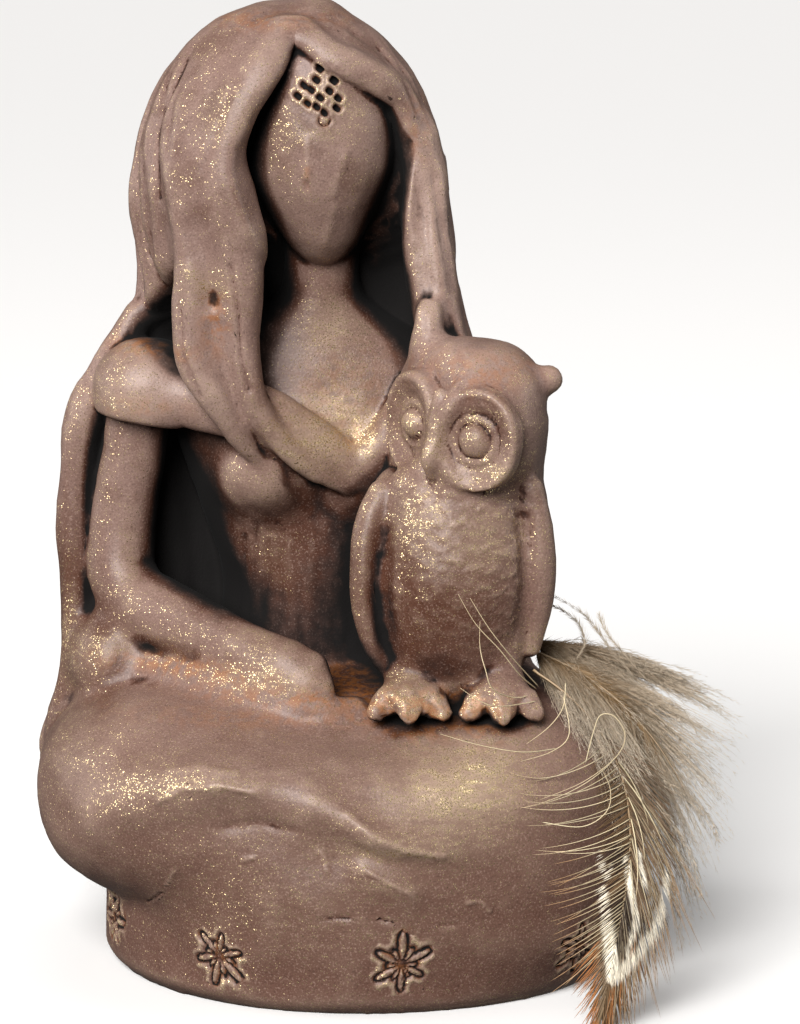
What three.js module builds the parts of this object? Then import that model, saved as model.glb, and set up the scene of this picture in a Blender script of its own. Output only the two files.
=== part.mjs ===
// A hand-made ceramic figurine: a seated woman with long hair and a blank face, an owl on her lap,
// and natural feathers glued behind the owl. Woman, owl and base are one casting.
// Millimetres, +Z up. The origin is the centre of the base's underside, and the figure looks along -Y.
// Each form is a function that gives the distance from a point to its surface, negative inside. Forms are
// joined and carved with rounded seams, as clay is, and the result is turned into one faceted solid.

import * as THREE from "three";

// Driving sizes
const FIGURE_HEIGHT = 130; // crown of the head above the top of the base
const BASE_DIAMETER = 76;
const BASE_HEIGHT = 10;
const BASE_EDGE = 3; // rounding of the foot's edge
const OWL_HEIGHT = 51; // feet to crown
const FEATHER_THICKNESS = 0.9;
const FEATHER_CLEARANCE = 0.9; // kept between a feather and the clay
const FLOOR_CLEARANCE = 0.6; // kept between a feather's tip and the floor
const PATTERNED_FEATHER = { length: 57, width: 17 };
const DOWNY_FEATHER = { length: 41, width: 22 };
const UPPER_FEATHER = { length: 33, width: 13 };

// How finely the clay is sampled, and how many facets are kept
const SAMPLE_STEP = 1.4;
const FIGURINE_FACETS = 8400;
const SHORTEST_EDGE = 0.35;
const SMOOTHING = 2;

// The figure is modelled 130 high, and the owl 51 high, so these turn their own units into millimetres
const figureScale = FIGURE_HEIGHT / 130;
const owlScale = OWL_HEIGHT / 51;

// Rounded joins and cuts

function join(a, b, radius) {
  const overlap = Math.max(radius - Math.abs(a - b), 0);
  return Math.min(a, b) - (overlap * overlap) / (4 * radius);
}

function carve(body, tool, radius) {
  return -join(-body, tool, radius);
}

function length(x, y, z) {
  return Math.sqrt(x * x + y * y + z * z);
}

function smoothstep(low, high, value) {
  const t = Math.min(Math.max((value - low) / (high - low), 0), 1); // low may be the greater
  return t * t * (3 - 2 * t);
}

// Forms

/** An egg or a rounded block: power 2 is an ellipsoid, and higher powers are squarer. */
function egg([cx, cy, cz], [rx, ry, rz], power = 2, lowerHeight = rz) {
  return (x, y, z) => {
    const dx = x - cx;
    const dy = y - cy;
    const dz = z - cz;
    const height = dz < 0 ? lowerHeight : rz;
    const sum = Math.abs(dx / rx) ** power + Math.abs(dy / ry) ** power + Math.abs(dz / height) ** power;
    const reach = Math.max(sum ** (1 / power), 0.05);
    return length(dx, dy, dz) * (1 - 1 / reach);
  };
}

/** A smooth curve through points, each [x, y, z, radius]: a limb, a lock of hair or a roll of clay. */
function roll(points, flatness = 1, steps = 4) {
  const stations = [];
  const last = points.length - 1;
  for (let i = 0; i < last; i += 1) {
    const near = [Math.max(i - 1, 0), i, i + 1, Math.min(i + 2, last)];
    const [before, from, to, after] = near.map((n) => points[n]);
    for (let step = 0; step < steps; step += 1) {
      const t = step / steps;
      stations.push(from.map((_, axis) => 0.5 * (2 * from[axis]
        + (to[axis] - before[axis]) * t
        + (2 * before[axis] - 5 * from[axis] + 4 * to[axis] - after[axis]) * t * t
        + (3 * from[axis] - before[axis] - 3 * to[axis] + after[axis]) * t * t * t)));
    }
  }
  stations.push(points[last]);
  const reach = 14;
  const low = [0, 1, 2].map((axis) => Math.min(...stations.map((s) => s[axis] - s[3])) - reach);
  const high = [0, 1, 2].map((axis) => Math.max(...stations.map((s) => s[axis] + s[3])) + reach);
  const segments = stations.slice(1).map((to, n) => {
    const from = stations[n];
    const [ex, ey, ez] = [to[0] - from[0], (to[1] - from[1]) * flatness, to[2] - from[2]];
    return { ax: from[0], ay: from[1], az: from[2], ar: from[3], ex, ey, ez, growth: to[3] - from[3],
      perLength: 1 / (ex * ex + ey * ey + ez * ez) };
  });
  const unflatten = 1 / Math.sqrt(flatness);
  return (x, y, z) => {
    if (x < low[0] || x > high[0] || y < low[1] || y > high[1] || z < low[2] || z > high[2]) return reach;
    let nearest = Infinity;
    for (let i = 0; i < segments.length; i += 1) {
      const s = segments[i];
      const px = x - s.ax;
      const py = (y - s.ay) * flatness;
      const pz = z - s.az;
      const t = Math.min(Math.max((px * s.ex + py * s.ey + pz * s.ez) * s.perLength, 0), 1);
      const distance = length(px - s.ex * t, py - s.ey * t, pz - s.ez * t) - (s.ar + s.growth * t);
      if (distance < nearest) nearest = distance;
    }
    return nearest * unflatten;
  };
}

/** A body whose level sections are ellipses: [z, centre x, centre y, radius x, radius y] at rising heights. */
function lofted(sections) {
  const last = sections.length - 1;
  const slopes = sections.map((_, n) => {
    const before = sections[Math.max(n - 1, 0)];
    const after = sections[Math.min(n + 1, last)];
    return after.map((value, k) => (value - before[k]) / (after[0] - before[0]));
  });
  const lowest = sections[0][0];
  const highest = sections[last][0];
  return (x, y, z) => {
    const height = Math.min(Math.max(z, lowest), highest);
    let i = 1;
    while (i < last && sections[i][0] < height) i += 1;
    const lower = sections[i - 1];
    const upper = sections[i];
    const span = upper[0] - lower[0];
    const t = (height - lower[0]) / span;
    const at = (k) => lower[k] + t * (span * slopes[i - 1][k]
      + t * (3 * (upper[k] - lower[k]) - span * (2 * slopes[i - 1][k] + slopes[i][k])
      + t * (2 * (lower[k] - upper[k]) + span * (slopes[i - 1][k] + slopes[i][k]))));
    const dx = x - at(1);
    const dy = y - at(2);
    const reach = Math.max(length(dx / at(3), dy / at(4), 0), 0.05);
    const side = length(dx, dy, 0) * (1 - 1 / reach);
    return Math.max(side, lowest - z, z - highest);
  };
}

/** A closed outline of [x, z] points, drawn through the whole depth. */
function outline(points) {
  return (x, z) => {
    let nearest = Infinity;
    let inside = false;
    for (let i = 0, j = points.length - 1; i < points.length; j = i, i += 1) {
      const [ax, az] = points[i];
      const [bx, bz] = points[j];
      const ex = bx - ax;
      const ez = bz - az;
      const t = Math.min(Math.max(((x - ax) * ex + (z - az) * ez) / (ex * ex + ez * ez), 0), 1);
      nearest = Math.min(nearest, length(x - ax - ex * t, z - az - ez * t, 0));
      if ((az > z) !== (bz > z) && x < ax + ((z - az) / (bz - az)) * (bx - ax)) inside = !inside;
    }
    return inside ? -nearest : nearest;
  };
}

/** Evaluates a form that is written in a frame turned by yaw about Z, and by roll about its own -Y. */
function turned(form, [cx, cy, cz], yaw, tilt = 0) {
  const [sinYaw, cosYaw] = [Math.sin(yaw), Math.cos(yaw)];
  const [sinTilt, cosTilt] = [Math.sin(tilt), Math.cos(tilt)];
  return (x, y, z) => {
    const across = (x - cx) * cosYaw + (y - cy) * sinYaw;
    const back = -(x - cx) * sinYaw + (y - cy) * cosYaw;
    const up = z - cz;
    return form(across * cosTilt + up * sinTilt, back, -across * sinTilt + up * cosTilt);
  };
}

// The skirt over the crossed legs

const lapMass = egg([-2.5, -2.5, 16.4], [42.5, 35.4, 16.4], 2.5);
const leftKnee = egg([-27.5, -7, 16.4], [18.9, 22, 15.6], 2.3);
const rightKnee = egg([22.5, -8, 16.6], [18, 23, 15.2], 2.3);
const seatMass = egg([-6, 9, 15], [36, 23, 18], 2.3);
const shinFold = roll([[-35, -26.6, 17, 2], [-29, -30.2, 20.4, 2.8], [-21, -33.4, 22.6, 2.8],
  [-13, -35, 22.6, 2], [-7, -35.6, 21, 1]]);
const kneeFold = roll([[-6, -36.6, 20.2, 1], [0, -36.4, 17, 2], [7, -35.6, 14.8, 2.6], [15, -33.4, 13.4, 2.4],
  [24, -28, 13, 1.6]]);
const lowFold = roll([[0, -36.6, 12.2, 0.8], [6, -36.2, 9.8, 1.4], [12, -34.6, 8, 0.8]]);
const crescentHollow = roll([[-25, -38.2, 16.6, 1], [-19, -39.8, 17.6, 2], [-12.5, -40.2, 16.8, 1.4]]);
const lapHollow = roll([[-8, -29, 33.5, 4], [2, -30, 33, 5], [12, -31, 32, 4]]);
const hemMass = egg([4, -4.5, 4], [35.5, 32.6, 17], 2.6); // brings the skirt's front down onto the base

function skirt(x, y, z) {
  let clay = join(lapMass(x, y, z), leftKnee(x, y, z), 6);
  clay = join(clay, rightKnee(x, y, z), 6);
  clay = join(clay, seatMass(x, y, z), 6);
  clay = join(clay, hemMass(x, y, z), 7);
  clay = join(clay, shinFold(x, y, z), 5);
  clay = join(clay, kneeFold(x, y, z), 4);
  clay = join(clay, lowFold(x, y, z), 3);
  clay = carve(clay, crescentHollow(x, y, z), 3.5);
  return carve(clay, lapHollow(x, y, z), 8);
}

// The body in its off-shoulder bodice

const torso = lofted([
  [24, -6, 8, 18, 14],
  [36, -6.5, 7, 14.6, 11.5],
  [44, -7, 6.5, 13.4, 10.5],
  [52, -6.8, 6, 15.4, 10.5],
  [60, -6.5, 5, 18.6, 10.8],
  [68, -6, 4, 21.5, 10.8],
  [76, -6, 4, 22.5, 9],
  [81, -6, 4, 15, 7.8],
  [86, -5.8, 3.4, 7.6, 6.6],
  [90, -5.7, 2.6, 5.6, 5.8],
  [100, -5.7, 2, 5.4, 5.8],
]);
const leftBreast = egg([-13.4, -1.6, 62.6], [8.2, 8.4, 7.6]);
const rightBreast = egg([1.5, -0.6, 62], [7.6, 8, 7.4]);
const sleeve = egg([-30.8, -1.2, 73.6], [8, 8.6, 7.6], 2.2);
const SLEEVE_HEM = [70.6, -0.15]; // height of its cut edge at the outside, and slope
const leftBand = roll([[-31, -6, 74, 3.4], [-23, -7.6, 73, 4.2], [-15, -8.4, 71.4, 4.4],
  [-8, -8.4, 67.6, 4], [-2, -7.4, 63.2, 3]], 1.5);
const rightBand = roll([[-1, -7.6, 63.4, 2.4], [4, -6.6, 69, 3], [11, -4, 73, 3], [20, -1, 75, 3]], 1.5);

function body(x, y, z) {
  let clay = join(torso(x, y, z), leftBreast(x, y, z), 3);
  clay = join(clay, rightBreast(x, y, z), 3);
  const hem = SLEEVE_HEM[0] + SLEEVE_HEM[1] * (x + 38) - z;
  clay = join(clay, carve(sleeve(x, y, z), -hem, 0.8), 1.5);
  clay = join(clay, leftBand(x, y, z), 1.2);
  return join(clay, rightBand(x, y, z), 1.2);
}

const arm = roll([[-32.2, 0, 72, 4.6], [-32.9, 0, 65, 4.6], [-34, 0.4, 59, 4.7], [-34.8, 0.6, 52, 4.7],
  [-35, 0, 46.5, 5.1], [-32.4, -2.4, 42.6, 5.3], [-27.6, -6.4, 41, 5], [-22, -11, 39.4, 4.5],
  [-16, -15.6, 38, 3.6], [-10.4, -18.6, 37.2, 3.2], [-6.8, -20, 36.6, 2.4]]);
const palm = roll([[-20, -14, 36.4, 2.6], [-14, -18, 35.4, 3], [-8.6, -20.6, 34.6, 2.8], [-5.4, -21.4, 34.2, 1.8]]);
const farSleeve = egg([17.4, 1.4, 71], [7.4, 8, 6.6], 2.2);
const farArm = roll([[18.6, 1.4, 68, 4.6], [20.4, 2.4, 58, 4.5], [21.4, 3, 47, 4.9], [20.4, 0, 41, 4.9],
  [16.4, -3.4, 38.4, 4.4], [11, -5, 36.6, 3.6], [6, -5.6, 35.6, 3]]);
const cuff = roll([[-32, -6, 34, 2], [-24, -13, 33.4, 2], [-16, -19, 32, 1.8], [-7, -22.4, 31, 1.4],
  [-1, -21, 31, 0.8]]);

// The head: a blank oval with a faint upright ridge, under a high forehead

const face = egg([-5.6, -1.4, 110.4], [10.9, 12, 17], 2.1, 16.9);
const faceRidge = roll([[-5.8, -12.2, 113, 0.5], [-5.6, -12.6, 107, 1], [-5.7, -11.8, 101, 1],
  [-5.9, -9.8, 97, 0.5]]);
const forehead = egg([-6.8, 1.5, 113], [9.6, 13.6, 17.5]);

// The hair

const crown = egg([-10.4, 2.6, 104], [22.6, 21.4, 26]);
const mantle = lofted([
  [-2, -6, 9, 30, 24],
  [8, -8, 10, 37.5, 23.5],
  [17, -9, 11, 40, 22],
  [26, -9.4, 11, 36.6, 20],
  [34, -9.5, 11, 34.6, 18.6],
  [50, -9.6, 10, 34.6, 18],
  [62, -9.7, 9, 34, 17.6],
  [74, -9.7, 8, 29.6, 17.2],
  [82, -9.7, 7, 24.6, 17],
  [88, -9.8, 6, 23.2, 17.5],
  [95, -10, 5, 22.8, 18],
  [104, -10.4, 3.6, 21.6, 18.6],
  [114, -10.4, 3, 17, 15],
]);
const faceOpening = outline([
  [-9.6, 126.8], [-11.9, 121.4], [-15.5, 115.8], [-18, 110.2], [-18.2, 107.3], [-17.5, 104.5], [-15.6, 99.5],
  [-14, 95.2], [-13.6, 86], [-13.6, 74], [9, 74], [8.6, 88], [6.8, 96], [6.4, 100], [6.9, 103.5], [7.6, 110.2],
  [5.1, 115.8], [0.2, 118.9], [-5.5, 122],
]);
const frontLock = roll([[-23, -8.6, 112, 4], [-22.2, -10.6, 105, 6], [-20.9, -11.8, 97, 6.4],
  [-20.2, -11.4, 89, 5.9], [-20, -11, 82, 4.6], [-18.6, -10.6, 75, 3.2], [-16.8, -10.6, 69, 2],
  [-15.6, -10.6, 64.6, 1.2]], 1.5);
const leftHairEdge = roll([[-10.6, -8.2, 126.6, 0.8], [-13.2, -11.8, 121, 1.6], [-16.8, -13.4, 115.4, 1.9],
  [-19.4, -13.6, 109, 2], [-19, -13.4, 103.4, 2.2], [-17.2, -12.8, 98, 2.2]]);
const rightHairEdge = roll([[-8, -8, 126.6, 0.8], [-4.2, -10.2, 123.2, 1.6], [1.4, -9.4, 120.2, 2],
  [6.4, -6.6, 117, 2], [9.4, -5.2, 111, 2.2]]);
const behindLock = roll([[-30.4, -8.4, 112, 1], [-30.2, -11, 105, 1.9], [-29.8, -11.8, 98, 2.5],
  [-29.8, -10.4, 91, 3]]);
const lockSlit = roll([[-23.4, -15.4, 102.4, 0.5], [-22.2, -16, 98, 1], [-20.9, -16, 92.8, 1.4],
  [-20.4, -15.8, 87.6, 1.9]]);
const leftStrand = roll([[-23.8, -13.4, 92, 1.6], [-24.2, -12.8, 86, 2.4], [-23.6, -12.4, 80, 2.8],
  [-20.8, -12.8, 75.4, 2.6], [-17.8, -12.8, 71, 2.2], [-15.8, -11.8, 66, 1.7], [-14.8, -10.6, 61.6, 1]]);
const rightStrand = roll([[-17.2, -14.2, 98, 2], [-16.6, -14.2, 91, 2.6], [-16.7, -13.2, 84, 2.4],
  [-16.4, -12.4, 78, 2.1], [-15, -11.6, 72.6, 1.6], [-13.4, -11, 69, 0.8]]);
const rightLock = roll([[8.8, -4, 112, 2.4], [9.6, -6, 105, 3], [9.6, -7.2, 97, 3.3], [10.4, -8.2, 89, 3.5],
  [12, -8.6, 81, 3.6]]);
const sideLock = roll([[8.8, 0, 106, 3.2], [10.2, -1, 97, 3.3], [10.8, -2.4, 89, 3.4], [13, -3, 81, 3.6]]);
const outerLock = roll([[-32.6, 4, 84, 2], [-36.6, 3.4, 76.6, 2.8], [-40.4, 2.6, 69, 2.9], [-41.8, 3, 60, 2.7],
  [-41.8, 3.4, 46, 2.7], [-41.4, 3, 34, 2.8], [-43.4, 3.4, 25, 3], [-45.4, 5, 17, 2]]);
const kneeTail = roll([[-37, 4, 42, 2], [-39, 2.4, 31, 2.8], [-42.6, 2.5, 23.6, 3], [-44.6, 4, 18, 2]]);

const LOCK_COUNT = 20; // rounded locks around the mane
const LOCK_RELIEF = 1.3;

/** How far the clay is sunk between the long locks, which drift a little sideways as they fall. */
function lockRelief(x, y, z) {
  const around = Math.atan2(y - 6, x + 10);
  const drift = 1.3 * Math.sin(z * 0.045 + 0.8) + 0.5 * Math.sin(z * 0.09 + around * 3);
  const crest = Math.abs(Math.sin(0.5 * LOCK_COUNT * around + drift));
  return LOCK_RELIEF * (1 - crest) * smoothstep(128, 108, z) * smoothstep(-11, -4, y);
}

/** Where the mane is cut off in front: it hangs behind the shoulders, and comes forward round the head. */
function maneFront(x, z) {
  const overHead = 16 * smoothstep(80, 96, z) + 18 * smoothstep(91, 103, z);
  const nextToOwl = 11.4 * smoothstep(1, 11, x) * smoothstep(64, 82, z);
  const behindWaist = 5 * smoothstep(28, 12, Math.abs(x + 9.7));
  return 2.4 - overHead - nextToOwl + behindWaist;
}

function hair(x, y, z) {
  let clay = join(crown(x, y, z), mantle(x, y, z), 3) + lockRelief(x, y, z);
  clay = carve(clay, 0.6 * (y - maneFront(x, z)), 3); // 0.6 allows for the slope of this cut
  const openingBack = 4 - 8 * smoothstep(90, 106, z);
  clay = carve(clay, Math.max(faceOpening(x, z), y - openingBack), 2);
  clay = join(clay, frontLock(x, y, z), 3);
  clay = join(clay, leftHairEdge(x, y, z), 2.5);
  clay = join(clay, rightHairEdge(x, y, z), 2.5);
  clay = join(clay, rightLock(x, y, z), 2);
  clay = join(clay, sideLock(x, y, z), 3);
  clay = join(clay, outerLock(x, y, z), 1.5);
  clay = join(clay, kneeTail(x, y, z), 2);
  clay = carve(clay, behindLock(x, y, z), 2.5);
  clay = carve(clay, lockSlit(x, y, z), 1.2);
  clay = join(clay, leftStrand(x, y, z), 1);
  return join(clay, rightStrand(x, y, z), 1);
}

function woman(x, y, z) {
  let clay = body(x, y, z);
  clay = join(clay, hair(x, y, z), 1);
  clay = join(clay, join(arm(x, y, z), palm(x, y, z), 2), 1);
  clay = join(clay, farSleeve(x, y, z), 1.5);
  clay = join(clay, farArm(x, y, z), 1);
  clay = join(clay, join(face(x, y, z), forehead(x, y, z), 2), 0.8);
  clay = join(clay, faceRidge(x, y, z), 3);
  clay = join(clay, skirt(x, y, z), 2);
  return join(clay, cuff(x, y, z), 3);
}

// The owl, in its own frame: the origin is on the lap between its feet

const OWL_YAW = -0.46; // it looks towards its right
const OWL_TILT = -0.1;
const LEFT_FOLD = 0.55; // its left eye's disc is turned back by so much more
const FOLD_AT = -9.5; // in front of the head's middle, the upright line that the disc is folded about
const owlBody = lofted([
  [3, -0.4, 2, 8, 8],
  [7, -0.3, 2, 12, 12.5],
  [12, -0.2, 1.8, 13.7, 14.2],
  [18, 0, 1.6, 14.2, 14.6],
  [25, 0.4, 1.6, 13.3, 13.8],
  [31, 1, 1.4, 11.6, 12.4],
  [38, 1.6, 0.6, 11, 11.6],
]);
const owlHead = egg([1.9, -0.6, 39.4], [11.5, 11.2, 11.4], 2.4);
const leftWing = roll([[-10.2, -4, 29, 2], [-12, -5.4, 24, 2.4], [-12.2, -6, 17, 2.5], [-11.4, -5.6, 9, 2.2],
  [-9, -4, 3.4, 1.4]]);
const rightWing = roll([[11, -6, 30, 1.8], [12, -6, 22, 2.3], [12, -5.4, 14, 2.2], [11, -4.6, 7, 1.6]]);
const rightEar = roll([[7.6, -3, 44.4, 2.4], [10.8, -2.6, 45, 1.7], [13.4, -2, 44.9, 1.9]]);
const leftEar = egg([-3.6, 1.5, 50], [2.4, 2.4, 3.4]);
const owlTail = egg([4, 9, 6], [7, 6, 8]);
const legs = [-6.4, 6.8].map((across) => roll([[across, -5, 8, 3], [across, -6, 2, 2.4]]));
const toes = [-6.4, 6.8].flatMap((across) => [-0.8, 0, 0.8].map((spread) => roll([
  [across, -6, 2, 1.8],
  [across + 4.4 * Math.sin(spread), -6.5 - 4 * Math.cos(spread), 1, 1.5],
  [across + 7.4 * Math.sin(spread), -6.5 - 6.6 * Math.cos(spread), -0.6, 0.9],
])));

const DISC_SIDE = 6.3; // each eye's disc stands this far off the beak's line
const DISC_RADII = [6.4, 2.4, 7.4];
const faceDisc = egg([DISC_SIDE, -8.6, 0], DISC_RADII);
const discHollow = egg([DISC_SIDE + 0.1, -12.4, -0.2], [5.6, 3, 6.6]);
const pupil = egg([DISC_SIDE - 0.3, -9.4, -0.2], [2, 1.9, 2]);
const beak = roll([[0, -9.8, 5.4, 0.8], [0, -10.5, 0, 1], [0, -11.4, -3.6, 1.3], [0, -10.6, -6, 0.7]]);

/** The owl's face, in a frame with its origin inside the head and -Y towards the beak. */
function owlFace(head, x, y, z) {
  const folded = x * Math.cos(LEFT_FOLD) - (y - FOLD_AT) * Math.sin(LEFT_FOLD);
  const forward = x * Math.sin(LEFT_FOLD) + (y - FOLD_AT) * Math.cos(LEFT_FOLD) + FOLD_AT;
  const beforeDisc = Math.max(forward + 8.2, folded - 0.5, -8 - z);
  let clay = carve(head, beforeDisc, 3);
  for (const [across, ahead] of [[x, y], [-folded, forward]]) {
    clay = join(clay, faceDisc(across, ahead, z), 0.8);
    clay = carve(clay, discHollow(across, ahead, z), 0.6);
    clay = join(clay, pupil(across, ahead, z), 0.4);
  }
  return join(clay, beak(x, y, z), 0.8);
}

function owl(x, y, z) {
  const away = length(x, y, z - 25);
  if (away > 44) return away - 32;
  let clay = join(owlBody(x, y, z), owlHead(x, y, z), 3);
  clay = turned((a, b, c) => owlFace(clay, a, b, c), [1.9, -0.6, 38.6], OWL_YAW, OWL_TILT)(x, y, z);
  clay = join(clay, rightEar(x, y, z), 1.4);
  clay = join(clay, leftEar(x, y, z), 2);
  clay = join(clay, leftWing(x, y, z), 1);
  clay = join(clay, rightWing(x, y, z), 1);
  clay = join(clay, owlTail(x, y, z), 2);
  for (const leg of legs) clay = join(clay, leg(x, y, z), 1.5);
  for (const toe of toes) clay = join(clay, toe(x, y, z), 0.8);
  return clay;
}

// The whole casting, in millimetres

const LAP_TOP = 32.6; // of a figure 130 high
const OWL_PLACE = [13.4 * figureScale, -15.4 * figureScale, BASE_HEIGHT + LAP_TOP * figureScale];

/** The low drum under the skirt, with a flat underside. */
function base(x, y, z) {
  const fromAxis = length(x, y, 0) - BASE_DIAMETER / 2 + BASE_EDGE;
  const fromMiddle = Math.abs(z - BASE_HEIGHT) - BASE_HEIGHT + BASE_EDGE;
  return Math.min(Math.max(fromAxis, fromMiddle), 0)
    + length(Math.max(fromAxis, 0), Math.max(fromMiddle, 0), 0) - BASE_EDGE;
}

function casting(x, y, z) {
  const figure = woman(x / figureScale, y / figureScale, (z - BASE_HEIGHT) / figureScale) * figureScale;
  const bird = owl((x - OWL_PLACE[0]) / owlScale, (y - OWL_PLACE[1]) / owlScale, (z - OWL_PLACE[2]) / owlScale)
    * owlScale;
  const hemBlend = 1.2 + 4.8 * smoothstep(-33, -18, x / figureScale);
  const clay = join(join(figure, bird, 1.2), base(x, y, z), hemBlend);
  return Math.max(clay, -z);
}

// Turning the clay into facets

/** Samples a form on a grid, skipping the blocks that the surface doesn't pass through. */
function sample(form, low, high, step) {
  const count = [0, 1, 2].map((axis) => Math.ceil((high[axis] - low[axis]) / step) + 2);
  const start = [low[0], low[1], -step / 2];
  const values = new Float32Array(count[0] * count[1] * count[2]);
  const block = 4;
  const blockReach = block * step * 1.4;
  const at = (i, j, k) => (k * count[1] + j) * count[0] + i;
  for (let bk = 0; bk < count[2]; bk += block) {
    for (let bj = 0; bj < count[1]; bj += block) {
      for (let bi = 0; bi < count[0]; bi += block) {
        const middle = [bi, bj, bk].map((n, axis) => start[axis] + (n + block / 2) * step);
        const there = form(...middle);
        const empty = Math.abs(there) > blockReach;
        for (let k = bk; k < Math.min(bk + block, count[2]); k += 1) {
          for (let j = bj; j < Math.min(bj + block, count[1]); j += 1) {
            for (let i = bi; i < Math.min(bi + block, count[0]); i += 1) {
              const value = empty ? there : form(start[0] + i * step, start[1] + j * step, start[2] + k * step);
              values[at(i, j, k)] = Math.abs(value) < 1e-4 ? 1e-4 : value;
            }
          }
        }
      }
    }
  }
  return { values, count, start, step, at };
}

/** The six tetrahedra round a cell's long diagonal, each with its corners in right-handed order. */
const TETRAHEDRA = [[0, 1, 3, 7], [0, 5, 1, 7], [0, 3, 2, 7], [0, 2, 6, 7], [0, 4, 5, 7], [0, 6, 4, 7]];

/** The surface between inside and outside, one or two facets in each tetrahedron that it crosses. */
function facets({ values, count, start, step, at }) {
  const positions = [];
  const triangles = [];
  const vertexOn = new Map();
  const cornerIndex = (i, j, k, corner) => at(i + (corner & 1), j + ((corner >> 1) & 1), k + (corner >> 2));
  const place = (index) => {
    const i = index % count[0];
    const j = Math.floor(index / count[0]) % count[1];
    const k = Math.floor(index / (count[0] * count[1]));
    return [start[0] + i * step, start[1] + j * step, start[2] + k * step];
  };
  const vertex = (p, q) => {
    const key = p < q ? p * values.length + q : q * values.length + p;
    if (vertexOn.has(key)) return vertexOn.get(key);
    const t = Math.min(Math.max(values[p] / (values[p] - values[q]), 0.06), 0.94);
    const from = place(p);
    const to = place(q);
    positions.push(...from.map((value, axis) => value + (to[axis] - value) * t));
    vertexOn.set(key, positions.length / 3 - 1);
    return positions.length / 3 - 1;
  };
  for (let k = 0; k < count[2] - 1; k += 1) {
    for (let j = 0; j < count[1] - 1; j += 1) {
      for (let i = 0; i < count[0] - 1; i += 1) {
        let insideCount = 0;
        for (let corner = 0; corner < 8; corner += 1) {
          insideCount += values[cornerIndex(i, j, k, corner)] < 0 ? 1 : 0;
        }
        if (insideCount === 0 || insideCount === 8) continue;
        for (const tetrahedron of TETRAHEDRA) {
          const corners = tetrahedron.map((corner) => cornerIndex(i, j, k, corner));
          addFacets(corners, values, vertex, triangles);
        }
      }
    }
  }
  return { positions: Float64Array.from(positions), triangles: Int32Array.from(triangles) };
}

/** True where the order of four corners is an even one. */
function isEven(order) {
  let swaps = 0;
  for (let a = 0; a < 4; a += 1) for (let b = a + 1; b < 4; b += 1) swaps += order[a] > order[b] ? 1 : 0;
  return swaps % 2 === 0;
}

function addFacets(corners, values, vertex, triangles) {
  const inside = [0, 1, 2, 3].filter((n) => values[corners[n]] < 0);
  const outside = [0, 1, 2, 3].filter((n) => values[corners[n]] >= 0);
  if (inside.length === 0 || outside.length === 0) return;
  const order = inside.length === 3 ? [...outside, ...inside] : [...inside, ...outside];
  if (!isEven(order)) [order[2], order[3]] = [order[3], order[2]];
  const [a, b, c, d] = order.map((n) => corners[n]);
  if (inside.length === 1) triangles.push(vertex(a, b), vertex(a, c), vertex(a, d));
  if (inside.length === 3) triangles.push(vertex(a, b), vertex(a, d), vertex(a, c));
  if (inside.length === 2) {
    triangles.push(vertex(a, c), vertex(a, d), vertex(b, d));
    triangles.push(vertex(a, c), vertex(b, d), vertex(b, c));
  }
}

/** A list that always gives its lowest entry first. */
class Heap {
  constructor() {
    this.items = [];
  }

  push(item) {
    const { items } = this;
    let i = items.length;
    items.push(item);
    while (i > 0) {
      const parent = (i - 1) >> 1;
      if (items[parent].cost <= item.cost) break;
      items[i] = items[parent];
      i = parent;
    }
    items[i] = item;
  }

  pop() {
    const { items } = this;
    const top = items[0];
    const item = items.pop();
    if (items.length === 0) return top;
    let i = 0;
    for (;;) {
      let child = 2 * i + 1;
      if (child >= items.length) break;
      if (child + 1 < items.length && items[child + 1].cost < items[child].cost) child += 1;
      if (items[child].cost >= item.cost) break;
      items[i] = items[child];
      i = child;
    }
    items[i] = item;
    return top;
  }
}

/** Evens out the grid's steps: each pass draws points together, then lets them spread by almost as much. */
function smoothed({ positions, triangles }, passes) {
  const [IN, OUT] = [0.5, -0.52];
  const sums = new Float64Array(positions.length);
  const counts = new Int32Array(positions.length / 3);
  for (let pass = 0; pass < 2 * passes; pass += 1) {
    sums.fill(0);
    counts.fill(0);
    for (let n = 0; n < triangles.length; n += 1) {
      const from = triangles[n];
      const to = triangles[n % 3 === 2 ? n - 2 : n + 1];
      for (let axis = 0; axis < 3; axis += 1) sums[3 * from + axis] += positions[3 * to + axis];
      counts[from] += 1;
    }
    const pull = pass % 2 === 0 ? IN : OUT;
    for (let n = 0; n < positions.length; n += 1) {
      const isUnderside = positions[n - (n % 3) + 2] < 1e-3;
      if (!isUnderside) positions[n] += pull * (sums[n] / counts[Math.floor(n / 3)] - positions[n]);
    }
  }
  return { positions, triangles };
}

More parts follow.
